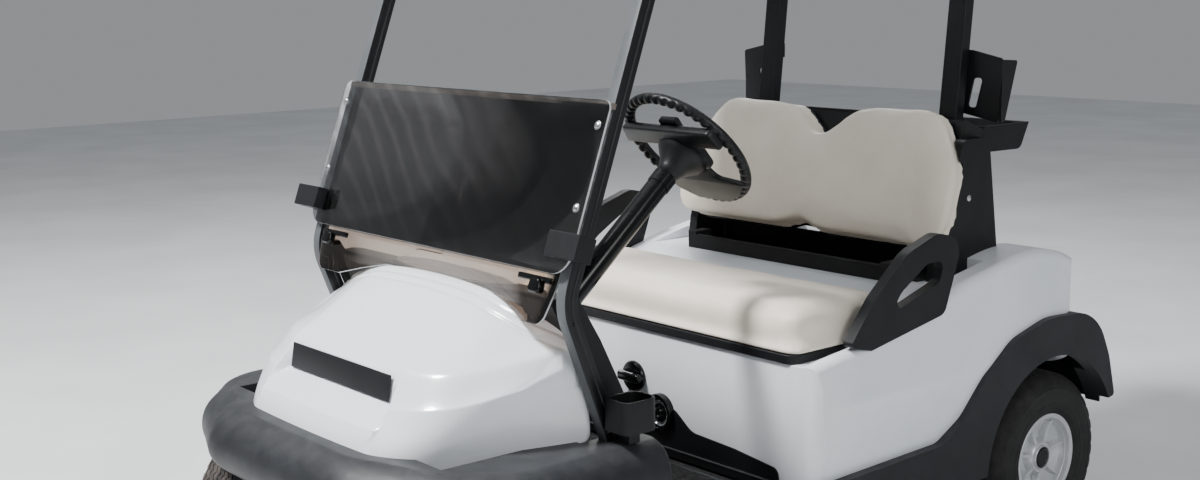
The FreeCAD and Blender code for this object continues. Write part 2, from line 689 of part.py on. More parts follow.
def bag_well():
    """Black tray for the golf bags' feet, with a divider and a wall in front."""
    wall_half, wall_top = support_x - support_t / 2 - 3, deck_z + 60
    x, y0, y1, low, high = pod_half - 162, 603, body_rear_y - 55, bag_floor_z + fit_gap, 560
    tray = box(-x, x, y0, y1, low, high)
    for x0, x1 in ((-x + 8, -12), (12, x - 8)):
        tray = tray.cut(plate_z([(x0, y0 + 8, 40), (x1, y0 + 8, 40), (x1, y1 - 8, 40), (x0, y1 - 8, 40)],
                                low + 8, high + 1))
    wall = plate_y([(-wall_half, low, 0), (wall_half, low, 0), (wall_half, wall_top, 12), (-wall_half, wall_top, 12)],
                   y0, y0 + 6)
    return tray.fuse(wall).removeSplitter()


def battery_pack():
    """Six batteries as one plain block."""
    return box(-400, 400, -40, 255, floor_bottom + 0.5, 590)


def heel_panel():
    """Black guard on the pod's front, under the seat."""
    outline = [(-480, 316, 6), (480, 316, 6), (470, 372, 20), (330, 388, 60), (180, 396, 60), (120, 440, 30),
               (20, 440, 30), (-60, 396, 60), (-470, 372, 20)]
    guard = plate_y(outline, pod_front_y - 4, pod_front_y - 0.2)
    return guard.cut(rod(V(70, -200, 425), V(70, 0, 425), 47.2))


def direction_selector():
    """Round knob with a raised grip."""
    centre = V(-30, pod_front_y - 0.2, 498)
    knob = Part.makeCylinder(40, 12, centre, V(0, -1, 0))
    grip = plate_z([(-70, pod_front_y - 32, 6), (10, pod_front_y - 32, 6), (12, pod_front_y - 10, 4),
                    (-72, pod_front_y - 10, 4)], 486, 512)
    return knob.fuse(grip).removeSplitter()


def charge_receptacle():
    """Round charging socket with a raised collar."""
    centre = V(70, pod_front_y - 0.2, 425)
    ring = Part.makeCylinder(47, 18, centre, V(0, -1, 0))
    return ring.cut(Part.makeCylinder(38, 14, centre - V(0, 4.5, 0), V(0, -1, 0)))


def seat_pan():
    """Black base board of the seat cushion."""
    side = cushion_half - 10
    return plate_z([(-side, cushion_front_y + 10, 30), (side, cushion_front_y + 10, 30),
                    (side, cushion_rear_y - 8, 30), (-side, cushion_rear_y - 8, 30)],
                   seat_ledge_z + fit_gap, seat_ledge_z + pan_t)


def seat_cushion():
    """Bench cushion, one simple closed form."""
    low = seat_ledge_z + pan_t + fit_gap
    side = plate_x([(cushion_front_y, low, 18), (cushion_front_y, cushion_top, 38),
                    (cushion_rear_y, cushion_top - 14, 38), (cushion_rear_y, low, 18)], -cushion_half, cushion_half)
    top = plate_z([(-cushion_half, cushion_front_y, 55), (cushion_half, cushion_front_y, 55),
                   (cushion_half, cushion_rear_y, 55), (-cushion_half, cushion_rear_y, 55)], 600, 800)
    return side.common(top)


# Right half of the seat back's outline from the front, top to bottom: x, height along the back, corner radius
back_outline = [(0, 262, 30), (120, 356, 110), (405, 358, 95), (503, 190, 110), (514, -28, 85),
                (75, -28, 60), (0, 0, 40)]


def back_slab(scale, front, depth):
    """The seat back's outline, scaled about its middle, as a slab that leans rearwards."""
    middle = 165
    half = [(x * scale, middle + (z - middle) * scale, r) for x, z, r in back_outline]
    points = half + [(-x, z, r) for x, z, r in reversed(half) if x > 0]
    slab = plate_y(points, front, front + depth)
    slab.rotate(V(0, 0, 0), X, -back_tilt_deg)
    slab.translate(V(0, *back_foot))
    return slab


def seat_back():
    """Two-lobed back cushion, leaning rearwards."""
    return back_slab(1.0, -back_front, back_front + 10).fuse(back_slab(0.94, 9, back_rear - 9))


def seat_back_shell():
    """Black moulded shell behind the back cushion."""
    return back_slab(0.92, back_rear + fit_gap, shell_t)


def behind_shell(height):
    """A point (y, z) on the shell's rear face, height along the back."""
    lean = math.radians(back_tilt_deg)
    depth = back_rear + fit_gap + shell_t
    return (back_foot[0] + height * math.sin(lean) + depth * math.cos(lean),
            back_foot[1] + height * math.cos(lean) - depth * math.sin(lean))


def hip_restraints():
    """Black arm loops that stand on the pod's ledges."""
    outer = [(25, 655, 10), (100, 636, 10), (368, 684, 30), (434, 862, 48), (335, 885, 60), (225, 850, 120),
             (112, 758, 150)]
    inner = [(163, 710, 14), (345, 764, 20), (362, 816, 18), (298, 816, 40), (205, 760, 60)]
    loop = plate_x(outer, pod_half - 44, pod_half - 16).cut(plate_x(inner, pod_half - 60, pod_half))
    return pair(loop)


def seat_rail():
    """Channel on the deck in front of the seat back, with a block at each end and a liner behind it."""
    outline = [(405, deck_z + fit_gap, 0), (405, 768, 5), (418, 768, 5), (424, 756, 5), (466, 756, 4),
               (466, deck_z + fit_gap, 0)]
    rail = plate_x(outline, -340, 340)
    for x in (-372, 340):
        rail = rail.fuse(box(x, x + 32, 405, 466, deck_z + fit_gap, 776))
    rail = rail.fuse(box(-415, 415, 460, 602, deck_z + fit_gap, deck_z + 3.5))
    return rail.removeSplitter()


# Rear structure and roof

def seat_supports():
    """Tapered black posts that carry the seat back and the rear struts."""
    outline = [(480, 720, 0), (734, 720, 0), (734, 782, 10), (690, 1080, 20), (585, 1080, 20), (490, 800, 30)]
    return pair(plate_x(outline, support_x - support_t / 2, support_x + support_t / 2))


def rear_struts():
    """Flat extrusions up to the roof."""
    low, high = (656, 800), (761, roof_top)
    outline = [(low[0] - rear_strut_d / 2, low[1], 0), (low[0] + rear_strut_d / 2, low[1], 0),
               (high[0] + rear_strut_d / 2, high[1], 0), (high[0] - rear_strut_d / 2, high[1], 0)]
    strut = plate_x(outline, rear_strut_x - rear_strut_w / 2, rear_strut_x + rear_strut_w / 2)
    return pair(strut)


def cross_bar():
    """Bars between the seat supports, behind the seat back's shell, with arms to the rear struts."""
    span = support_x - support_t / 2
    upper = plate_x(slanted(behind_shell(262), behind_shell(335), 64, -64.6), -span, span)
    lower = plate_x(slanted(behind_shell(8), behind_shell(75), 14, -14.6), -span, span)
    for side in (-1, 1):
        middle = side * rear_strut_x
        lower = lower.fuse(box(middle - 14, middle + 14, 535, 662, 812, 842))
    return Part.makeCompound([upper, lower.removeSplitter()])


def bag_brackets():
    """Slotted plates on the rear struts that hold the golf bags' straps, with a wing at the side."""
    outline = [(302, 1262, 0), (345, 1258, 8), (340, 1134, 6), (455, 1114, 8), (463, 1279, 8), (372, 1298, 10),
               (302, 1302, 0)]
    slot = [(358, 1150, 8), (384, 1150, 8), (404, 1228, 8), (376, 1226, 8)]
    panel = plate_y(outline, 724, 729).cut(plate_y(slot, 700, 760))
    wing = plate_x([(727, 1118, 0), (742, 1112, 6), (792, 1272, 6), (727, 1276, 0)], 457, 461.5)
    flange = box(302, 307, 700, 729, 1266, 1300)
    return pair(panel.fuse(wing).fuse(flange))


def basket():
    """Open tray behind the struts, its side walls carried forward to the seat supports."""
    reach = support_x - support_t / 2 - 0.5
    outer = plate_x([(709, 1036, 0), (868, 1034, 24), (904, 1104, 0), (709, 1104, 0)], -reach, reach)
    inner = plate_x([(715, 1042, 8), (864, 1040, 20), (897, 1110, 0), (715, 1110, 0)], 6 - reach, reach - 6)
    tray = outer.cut(inner)
    ear = [(640, 1052, 6), (720, 1046, 0), (720, 1104, 0), (640, 1078, 6)]
    for side in (-1, 1):
        edge = side * reach
        tray = tray.fuse(plate_x(ear, min(edge, edge - 6 * side), max(edge, edge - 6 * side)))
    return tray.removeSplitter()


def canopy_form(x, y0, y1, low, rim, crown):
    """A crowned tray form: plan, front and side outlines cut through each other."""
    middle = (y0 + y1) / 2
    crown = crown + 3.5
    front = [(-x, low, 0), (x, low, 0), (x, rim, 45), (0, crown, 3000), (-x, rim, 45)]
    side = [(y0, low, 0), (y1, low, 0), (y1, rim - 4, 40), (middle, crown + 4, 3000), (y0, rim - 4, 40)]
    edge = [(-x, y0, 90), (x, y0, 90), (x, y1, 90), (-x, y1, 90)]
    return plate_y(front, y0, y1).common(plate_x(side, -x, x)).common(plate_z(edge, low, crown + 9))


def roof():
    """Moulded canopy: a crowned sheet with a turned-down rim."""
    t = roof_wall
    outer = canopy_form(roof_half, roof_front_y, roof_rear_y, roof_skin - 12, roof_top - 27, roof_top)
    inner = canopy_form(roof_half - t, roof_front_y + t, roof_rear_y - t, roof_skin - 13, roof_top - 27 - t,
                        roof_top - t)
    return outer.cut(inner)


def pedals():
    """Accelerator and brake pads on their arms."""
    shapes = []
    for x, w in ((45, 50), (110, 80)):
        pad = plate_x([(-640, 395, 4), (-630, 400, 4), (-655, 480, 4), (-665, 476, 4)], x, x + w)
        arm = plate_x([(-650, 440, 0), (-640, 440, 0), (-640, 560, 0), (-656, 560, 0)], x + w / 2 - 8, x + w / 2 + 8)
        shapes.append(pad.fuse(arm))
    return Part.makeCompound(shapes)


def without(shape, *others):
    """The shape with its neighbours' space taken out, so that it seats on them."""
    for other in others:
        shape = shape.cut(other)
    return shape


def above_cowl(pane):
    """The pane cut where it meets the cowl, without the piece left inside the nose."""
    solid_nose = Part.makeLoft([plan(section, cowl_rear_y, 40) for section in cowl_sections], True, False)
    pieces = pane.cut(solid_nose).Solids
    return max(pieces, key=lambda solid: solid.Volume)


def below(shape, cover):
    """The shape cut by the cover over it, without the pieces left above."""
    pieces = [solid for solid in shape.cut(cover).Solids if solid.BoundBox.ZMin < roof_skin - 20]
    return Part.makeCompound(pieces)


def main():
    os.makedirs("parts", exist_ok=True)
    parts = {
        "frame_rails": frame_rails(), "cross_members": cross_members(), "front_axle": front_axle(),
        "rear_axle": rear_axle(), "suspension": suspension(), "battery_pack": battery_pack(),
        "knuckle_left": knuckle(), "knuckle_right": mirrored(knuckle()), "steering_rack": steering_rack(),
        "steering_wheel": steering_wheel(), "steering_column": steering_column(),
        "floor_panel": floor_panel(), "pedals": pedals(), "roof": roof(),
        "heel_panel": heel_panel(), "direction_selector": direction_selector(),
        "charge_receptacle": charge_receptacle(), "seat_pan": seat_pan(), "seat_cushion": seat_cushion(),
        "seat_back": seat_back(), "seat_back_shell": seat_back_shell(), "seat_rail": seat_rail(),
        "badge_plate": badge_plate(), "windshield_lower": windshield_lower(),
        "windshield_upper": windshield_upper(), "windshield_clips": windshield_clips(),
        "front_struts": front_struts(), "rear_struts": rear_struts(), "bag_brackets": bag_brackets(),
        "basket": basket(),
    }
    for name in ("front_struts", "rear_struts"):
        parts[name] = below(parts[name], parts["roof"])
    parts["steering_column"] = without(parts["steering_column"], parts["front_axle"])
    parts["seat_back_shell"] = without(parts["seat_back_shell"], parts["rear_struts"])
    flare = rear_fenders()
    parts["rear_fenders"] = pair(flare)
    body = rear_body().cut(flare).cut(mirrored(flare))
    parts["rear_body"] = body
    parts["bag_well"] = without(bag_well(), body)
    parts["rear_bumper"] = without(rear_bumper(), flare, mirrored(flare), parts["bag_well"])
    parts["hip_restraints"] = without(hip_restraints(), body)
    parts["seat_supports"] = without(seat_supports(), body, parts["seat_back_shell"], parts["seat_back"])
    parts["cross_bar"] = without(cross_bar(), parts["rear_struts"], parts["seat_supports"], parts["basket"])
    parts["bag_brackets"] = without(parts["bag_brackets"], parts["rear_struts"])
    nose = cowl()
    parts["cowl"] = without(nose, parts["steering_column"])
    parts["front_skirt"] = without(front_skirt(), nose, parts["front_struts"], parts["steering_column"])
    parts["windshield_lower"] = above_cowl(parts["windshield_lower"])
    parts["side_panels"] = side_panels()
    parts["bottle_holders"] = without(bottle_holders(), parts["front_struts"], parts["side_panels"])
    parts["dash"] = without(dash(), parts["steering_column"], nose)
    # place, x, y, the side that its face looks to
    wheels = [("front_left", track_front / 2, front_axle_y, 1), ("front_right", -track_front / 2, front_axle_y, -1),
              ("rear_left", track_rear / 2, rear_axle_y, 1), ("rear_right", -track_rear / 2, rear_axle_y, -1)]
    for place, x, y, side in wheels:
        parts["tyre_" + place] = tyre(x, y)
        parts["rim_" + place] = wheel_rim(x, y, side)
    for name, shape in parts.items():
        shape.exportStep("parts/%s.step" % name)
        bounds = shape.optimalBoundingBox(True, False)
        print("%-20s %s x %5.0f..%5.0f y %5.0f..%5.0f z %5.0f..%5.0f" % (
            name, "ok " if shape.isValid() else "BAD", bounds.XMin, bounds.XMax, bounds.YMin, bounds.YMax,
            bounds.ZMin, bounds.ZMax), len(shape.Solids))


if __name__ == "__main__":
    main()
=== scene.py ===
"""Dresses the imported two-seat golf cart for a studio render, one operator for each group of pieces."""
import math

import bmesh
import bpy
from mathutils import Matrix, Vector, noise


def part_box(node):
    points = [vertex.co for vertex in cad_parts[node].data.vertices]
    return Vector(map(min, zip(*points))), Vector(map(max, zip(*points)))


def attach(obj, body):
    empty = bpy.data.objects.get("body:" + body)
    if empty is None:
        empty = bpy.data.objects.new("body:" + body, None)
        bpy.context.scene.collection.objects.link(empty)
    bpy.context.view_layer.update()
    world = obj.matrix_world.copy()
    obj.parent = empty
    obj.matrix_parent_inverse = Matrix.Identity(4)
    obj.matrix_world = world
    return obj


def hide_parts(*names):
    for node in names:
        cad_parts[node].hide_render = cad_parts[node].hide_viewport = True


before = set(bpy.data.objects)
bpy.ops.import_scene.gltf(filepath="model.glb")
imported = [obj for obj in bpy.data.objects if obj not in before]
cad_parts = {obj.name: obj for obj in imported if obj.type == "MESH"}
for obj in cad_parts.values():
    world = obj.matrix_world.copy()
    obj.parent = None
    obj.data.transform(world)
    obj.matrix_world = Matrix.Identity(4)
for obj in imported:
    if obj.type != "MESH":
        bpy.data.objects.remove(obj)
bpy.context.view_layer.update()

bl_info = {
    "name": "Golf Cart Dressing",
    "version": (1, 0, 0),
    "blender": (4, 5, 0),
    "location": "View3D > Sidebar > Golf Cart",
    "description": "Panels, glazing, seats, steering wheel, tyres and wheels of a two-seat golf cart",
    "category": "Object",
}

MM = 0.001


# Colours and materials

def linear(code):
    """An sRGB hex colour as linear RGBA."""
    parts = [int(code[i:i + 2], 16) / 255 for i in (0, 2, 4)]
    return tuple(c / 12.92 if c <= 0.04045 else ((c + 0.055) / 1.055) ** 2.4 for c in parts) + (1.0,)


def add(tree, kind, inputs=None, **settings):
    """Adds a node, sets its properties, and sets or links each named or numbered input."""
    node = tree.nodes.new(kind)
    for name, value in settings.items():
        setattr(node, name, value)
    for name, value in (inputs or {}).items():
        if isinstance(value, bpy.types.NodeSocket):
            tree.links.new(value, node.inputs[name])
        else:
            node.inputs[name].default_value = value
    return node


def start(name, **shader_values):
    """A new material with its shader's own values set; returns it, its tree, shader and coordinates."""
    mat = bpy.data.materials.new(name)
    mat.use_nodes = True
    tree = mat.node_tree
    shader = tree.nodes["Principled BSDF"]
    for key, value in shader_values.items():
        shader.inputs[key.replace("_", " ")].default_value = value
    coords = add(tree, "ShaderNodeTexCoord").outputs["Object"]
    return mat, tree, shader, coords


def mottle(tree, coords, scale, detail=3.0, rough=0.5):
    """A cloudy noise value; scale is waves to a metre."""
    return add(tree, "ShaderNodeTexNoise", {"Vector": coords, "Scale": scale, "Detail": detail,
                                            "Roughness": rough}).outputs["Fac"]


def blend(tree, factor, low, high, start_at=0.35, end_at=0.65):
    """Two colours mixed by a value between its limits."""
    ramp = add(tree, "ShaderNodeValToRGB", {"Fac": factor})
    ramp.color_ramp.elements[0].position = start_at
    ramp.color_ramp.elements[1].position = end_at
    ramp.color_ramp.elements[0].color = low
    ramp.color_ramp.elements[1].color = high
    return ramp.outputs["Color"]


def span(tree, factor, low, high):
    """A value from 0 to 1 mapped between two limits."""
    return add(tree, "ShaderNodeMapRange", {"Value": factor, "To Min": low, "To Max": high}).outputs["Result"]


def bump(tree, shader, height, depth_mm):
    """Bump from a height value; depth is in millimetres."""
    node = add(tree, "ShaderNodeBump", {"Height": height, "Distance": depth_mm * MM, "Strength": 1.0})
    tree.links.new(node.outputs["Normal"], shader.inputs["Normal"])


def gloss_panel():
    """Gloss-painted moulded thermoplastic: clear highlights with a slight orange peel."""
    look = bpy.context.scene.cart_colours
    mat, tree, shader, coords = start("gloss_painted_moulding", Coat_Weight=0.5, Coat_Roughness=0.06)
    soil = mottle(tree, coords, 2.2, 5.0, 0.6)
    shade = blend(tree, soil, linear(look.panel_shade), linear(look.panel), 0.3, 0.6)
    tree.links.new(shade, shader.inputs["Base Color"])
    tree.links.new(span(tree, mottle(tree, coords, 7.0), 0.16, 0.26), shader.inputs["Roughness"])
    # orange peel about 8 mm across
    bump(tree, shader, mottle(tree, coords, 120.0, 1.0), 0.05)
    return mat


# Grey mixed in on upward faces: dust, and a painted sheen where light from above falls
PAINTED_SHEEN_AND_DUST = "8D8F92"


def grained_moulding(name, dark, light, gloss, grain_mm=1.6, depth=0.12, top_sheen_and_dust=0.0):
    """Grained polypropylene moulding: soft sheen; where asked, paler on upward faces with dust and a painted
    sheen.
    """
    mat, tree, shader, coords = start(name, Specular_IOR_Level=0.3)
    cloud = mottle(tree, coords, 5.0, 6.0, 0.62)
    body = blend(tree, cloud, linear(dark), linear(light), 0.32, 0.7)
    if top_sheen_and_dust:
        # upward faces turn towards grey: dust, and a painted sheen of the light from above
        normal = add(tree, "ShaderNodeTexCoord").outputs["Normal"]
        up = add(tree, "ShaderNodeSeparateXYZ", {"Vector": normal}).outputs["Z"]
        paler_mix = add(tree, "ShaderNodeMath",
                   {0: span(tree, up, 0.0, top_sheen_and_dust), 1: mottle(tree, coords, 30.0, 4.0)},
                   operation="MULTIPLY", use_clamp=True).outputs["Value"]
        mixed = add(tree, "ShaderNodeMix", {"Factor": paler_mix, "A": body, "B": linear(PAINTED_SHEEN_AND_DUST)},
                    data_type="RGBA")
        body = mixed.outputs["Result"]
    tree.links.new(body, shader.inputs["Base Color"])
    sheen = span(tree, mottle(tree, coords, 18.0), gloss - 0.08, gloss + 0.1)
    tree.links.new(sheen, shader.inputs["Roughness"])
    # leather-like grain, drawn a little coarser than the real one so that it shows
    cells = add(tree, "ShaderNodeTexVoronoi", {"Vector": coords, "Scale": 1 / (grain_mm * MM)})
    bump(tree, shader, cells.outputs["Distance"], depth)
    return mat


def coated_steel(name, shade, gloss):
    """Powder-coated steel: satin, with a fine pimpled skin."""
    mat, tree, shader, coords = start(name, Specular_IOR_Level=0.35)
    cloud = mottle(tree, coords, 9.0, 4.0)
    tint = [min(1.0, c * 1.5) for c in linear(shade)[:3]] + [1.0]
    tree.links.new(blend(tree, cloud, linear(shade), tint, 0.3, 0.8), shader.inputs["Base Color"])
    tree.links.new(span(tree, cloud, gloss - 0.06, gloss + 0.08), shader.inputs["Roughness"])
    bump(tree, shader, mottle(tree, coords, 700.0, 1.0), 0.04)
    return mat


def seat_vinyl():
    """Expanded vinyl upholstery: pebble grain and a low sheen, a little grey with use."""
    look = bpy.context.scene.cart_colours
    mat, tree, shader, coords = start("expanded_vinyl", Specular_IOR_Level=0.4, Sheen_Weight=0.08,
                                      Sheen_Roughness=0.4)
    worn = mottle(tree, coords, 4.0, 6.0, 0.6)
    tree.links.new(blend(tree, worn, linear(look.vinyl_shade), linear(look.vinyl), 0.3, 0.62),
                   shader.inputs["Base Color"])
    tree.links.new(span(tree, mottle(tree, coords, 12.0), 0.42, 0.56), shader.inputs["Roughness"])
    # pebble grain 2.2 mm across
    grain = add(tree, "ShaderNodeTexVoronoi", {"Vector": coords, "Scale": 1 / (2.2 * MM), "Smoothness": 0.6},
                feature="SMOOTH_F1").outputs["Distance"]
    bump(tree, shader, grain, 0.16)
    return mat


# Height at which the panes' tint ends, in metres
TINT_FOOT = 0.905


def cast_acrylic(name, tint, foot_tint):
    """Cast acrylic: glossy, its tint ending at a line near the foot, with faint wiping streaks."""
    mat, tree, shader, coords = start(name, Transmission_Weight=1.0, IOR=1.49)
    height = add(tree, "ShaderNodeSeparateXYZ", {"Vector": coords}).outputs["Z"]
    above = add(tree, "ShaderNodeMapRange",
                {"Value": height, "From Min": TINT_FOOT, "From Max": TINT_FOOT + 0.004}).outputs["Result"]
    # wiping streaks about 45 mm apart, bent by a slow wave
    streaks = add(tree, "ShaderNodeTexWave",
                  {"Vector": coords, "Scale": 7.0, "Distortion": 4.0, "Detail": 1.0, "Detail Scale": 0.6},
                  bands_direction="DIAGONAL").outputs["Fac"]
    paler_colour = [min(1.0, c * 1.25 + 0.006) for c in linear(tint)[:3]] + [1.0]
    tinted = blend(tree, streaks, linear(tint), paler_colour, 0.55, 0.95)
    # below the tint line the foot's colour; the smoked pane's tan foot paints the shade on the cowl seen
    # through it
    mixed = add(tree, "ShaderNodeMix", {"Factor": above, "A": linear(foot_tint), "B": tinted},
                data_type="RGBA")
    tree.links.new(mixed.outputs["Result"], shader.inputs["Base Color"])
    tree.links.new(span(tree, mottle(tree, coords, 6.0, 5.0), 0.02, 0.06), shader.inputs["Roughness"])
    return mat


def tyre_rubber(name, base, paler_colour, gloss):
    """Vulcanised rubber: matt, with dry dust in the grain."""
    mat, tree, shader, coords = start(name, Specular_IOR_Level=0.35)
    paler_mix = mottle(tree, coords, 26.0, 8.0, 0.7)
    tree.links.new(blend(tree, paler_mix, linear(base), linear(paler_colour), 0.38, 0.72), shader.inputs["Base Color"])
    tree.links.new(span(tree, paler_mix, gloss, gloss + 0.15), shader.inputs["Roughness"])
    bump(tree, shader, mottle(tree, coords, 400.0, 4.0), 0.15)
    return mat


def wheel_lacquer():
    """Silver metallic lacquer on moulded covers: fine flake under a soft gloss."""
    mat, tree, shader, coords = start("silver_wheel_lacquer", Metallic=0.55, Coat_Weight=0.3,
                                      Coat_Roughness=0.15)
    flake = mottle(tree, coords, 900.0, 2.0)
    silver = blend(tree, flake, linear("B5B7BA"), linear("DCDEE0"), 0.3, 0.7)
    tree.links.new(silver, shader.inputs["Base Color"])
    tree.links.new(span(tree, mottle(tree, coords, 14.0, 5.0), 0.28, 0.44), shader.inputs["Roughness"])
    return mat


def bright_metal(name, shade, gloss):
    """Machined or plated metal: bright, with fine turned or rolled streaks."""
    mat, tree, shader, coords = start(name, Metallic=1.0)
    streak = mottle(tree, coords, 160.0, 3.0)
    tint = [c * 0.8 for c in linear(shade)[:3]] + [1.0]
    tree.links.new(blend(tree, streak, tint, linear(shade)), shader.inputs["Base Color"])
    tree.links.new(span(tree, streak, gloss, gloss + 0.12), shader.inputs["Roughness"])
    return mat


def mat_rubber():
    """Moulded rubber matting: dark grey with pale grit trodden into it."""
    mat, tree, shader, coords = start("ribbed_rubber_matting", Specular_IOR_Level=0.3)
    grit = mottle(tree, coords, 320.0, 3.0, 0.7)
    trodden = blend(tree, grit, linear("3A3A3B"), linear("8A8681"), 0.56, 0.68)
    tree.links.new(trodden, shader.inputs["Base Color"])
    tree.links.new(span(tree, grit, 0.7, 0.9), shader.inputs["Roughness"])
    bump(tree, shader, grit, 0.4)
    return mat


MAKERS = {
    "white": gloss_panel,
    "black": lambda: grained_moulding("grained_polypropylene", "0E0F11", "17181B", 0.5),
    # the upward faces of the bumper finish get dust and a painted sheen
    "bumper": lambda: grained_moulding("polypropylene_painted_top_sheen_and_dust", "15171A", "202226", 0.46, 2.2, 0.2, 0.16),
    "gloss_black": lambda: grained_moulding("gloss_black_abs", "070708", "0C0D0E", 0.16, 1.2, 0.01),
    "steel": lambda: coated_steel("satin_powder_coat", "101113", 0.42),
    "gear": lambda: coated_steel("chassis_black_paint", "141414", 0.6),
    "alloy": lambda: bright_metal("extruded_aluminium", "A9ACAE", 0.4),
    "vinyl": seat_vinyl,
    # the tan foot colour is painted shade on the cowl top, seen through the clear foot
    "pane": lambda: cast_acrylic("smoked_cast_acrylic", "403D3E", "CDB7A6"),
    "pane_clear": lambda: cast_acrylic("clear_cast_acrylic", "D2D3D3", "E6E8E6"),
    "tyre": lambda: tyre_rubber("tyre_sidewall_rubber", "151516", "2B2A29", 0.6),
    # front treads: dust plus painted sunlight in the paler colour
    "tread": lambda: tyre_rubber("front_tread_rubber_painted_sunlight", "1C1B1B", "5A524E", 0.75),
    "wheel": wheel_lacquer,
    "mat": mat_rubber,
    "screw": lambda: bright_metal("stainless_steel", "D6D7D8", 0.22),
    "chrome": lambda: bright_metal("chromium_plate", "E4E6E8", 0.08),
    # a paler coat for the struts' forward faces: a painted reflection
    "front_face_painted_reflection": lambda: coated_steel("powder_coat_painted_reflection", "4A4D50", 0.45),
    "grip": lambda: grained_moulding("integral_skin_polyurethane", "121314", "1C1D1F", 0.36, 1.4, 0.06),
    "hinge": lambda: grained_moulding("vinyl_hinge_extrusion", "6B625B", "7C736B", 0.5, 1.2, 0.03),
    "pane_edge": lambda: grained_moulding("sawn_acrylic_edge", "B9BCBC", "D6D8D8", 0.4, 1.2, 0.03),
    # rear treads: darker, a painted shade
    "tread_rear_painted_shade": lambda: tyre_rubber("rear_tread_rubber_painted_shade", "141414", "2E2C2B", 0.72),
}
made_materials = {}


def material(key):
    """The named finish, made once."""
    if key not in made_materials:
        made_materials[key] = MAKERS[key]()
    return made_materials[key]


# Mesh helpers

def finish_piece(bm, name, body, key, replaced=(), angle=40.0, extra=()):
    """Turns a bmesh into a shown piece: outward normals, smooth faces with sharp edges past an angle."""
    bmesh.ops.recalc_face_normals(bm, faces=bm.faces)
    for face in bm.faces:
        face.smooth = True
    limit = math.radians(angle)
    for edge in bm.edges:
        if len(edge.link_faces) == 2 and edge.calc_face_angle() > limit:
            edge.smooth = False
    mesh = bpy.data.meshes.new(name)
    bm.to_mesh(mesh)
    bm.free()
    for item in (key,) + tuple(extra):
        mesh.materials.append(material(item))
    piece = bpy.data.objects.new(name, mesh)
    bpy.context.scene.collection.objects.link(piece)
    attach(piece, body)
    if replaced:
        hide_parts(*replaced)
    return piece


def lines(bm, points):
    """Vertices joined by edges; returns the edges."""
    verts = [bm.verts.new(p) for p in points]
    return [bm.edges.new(pair) for pair in zip(verts, verts[1:])]


def only(geom, kind):
    """The items of one kind."""
    return [item for item in geom if isinstance(item, kind)]


def plate(outline, depth, rounding=0.0, segments=3, corners=()):
    """A flat outline pushed along a vector, its corners cut to their radii and its edges rounded."""
    bm = bmesh.new()
    verts = [bm.verts.new(p) for p in outline]
    bm.faces.new(verts)
    for vert, radius in zip(verts, corners):
        if radius:
            bmesh.ops.bevel(bm, geom=[vert], offset=radius, segments=8, profile=0.5, material=-1,
                            affect="VERTICES")
    made = bmesh.ops.extrude_face_region(bm, geom=bm.faces[:])
    bmesh.ops.translate(bm, verts=only(made["geom"], bmesh.types.BMVert), vec=depth)
    if rounding:
        round_edges(bm, rounding, segments)
    return bm


def round_edges(bm, width, segments=3):
    """Bevels every edge that turns by more than 35 degrees."""
    bmesh.ops.recalc_face_normals(bm, faces=bm.faces)
    limit = math.radians(35.0)
    sharp = [e for e in bm.edges if len(e.link_faces) == 2 and e.calc_face_angle() > limit]
    bmesh.ops.bevel(bm, geom=sharp, offset=width, segments=segments, profile=0.5, material=-1,
                    affect="EDGES", clamp_overlap=True)


def block(low, high, rounding=0.0, segments=2):
    """A cuboid between two corners."""
    bm = bmesh.new()
    bmesh.ops.create_cube(bm, size=1.0)
    low, high = Vector(low), Vector(high)
    bmesh.ops.scale(bm, verts=bm.verts, vec=high - low)
    bmesh.ops.translate(bm, verts=bm.verts, vec=(low + high) / 2)
    if rounding:
        round_edges(bm, rounding, segments)
    return bm


def turned(profile, centre, axis, steps=64, across=None):
    """A profile of (along, radius) pairs spun round an axis through the centre."""
    axis = Vector(axis).normalized()
    across = Vector(across) if across else axis.orthogonal().normalized()
    bm = bmesh.new()
    edges = lines(bm, [Vector(centre) + axis * a + across * r for a, r in profile])
    bmesh.ops.spin(bm, geom=edges + bm.verts[:], cent=centre, axis=axis, angle=math.tau, steps=steps,
                   use_merge=True)
    bmesh.ops.remove_doubles(bm, verts=bm.verts, dist=1e-5)
    return bm


def joined(bm, other):
    """Adds another bmesh to this one."""
    mesh = bpy.data.meshes.new("part")
    other.to_mesh(mesh)
    other.free()
    bm.from_mesh(mesh)
    bpy.data.meshes.remove(mesh)
    return bm


def mirrored(bm):
    """Adds the copy on the cart's other side, and joins the two where they meet."""
    bmesh.ops.mirror(bm, geom=bm.verts[:] + bm.edges[:] + bm.faces[:], merge_dist=0.0001, axis="X")


def from_node(node):
    """A merged copy of a CAD node's mesh, its flat faces rejoined."""
    bm = bmesh.new()
    bm.from_mesh(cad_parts[node].data)
    bmesh.ops.remove_doubles(bm, verts=bm.verts, dist=2e-5)
    bmesh.ops.dissolve_limit(bm, angle_limit=math.radians(0.6), verts=bm.verts, edges=bm.edges)
    return bm


def baked(piece):
    """Applies the piece's modifiers to its mesh."""
    shown = piece.evaluated_get(bpy.context.evaluated_depsgraph_get())
    mesh = bpy.data.meshes.new_from_object(shown)
    piece.modifiers.clear()
    piece.data = mesh


def subdivided(piece, levels):
    """A live subdivision surface with the same levels in view and render."""
    mod = piece.modifiers.new("Subdivision", "SUBSURF")
    mod.levels = levels
    mod.render_levels = levels


# User settings

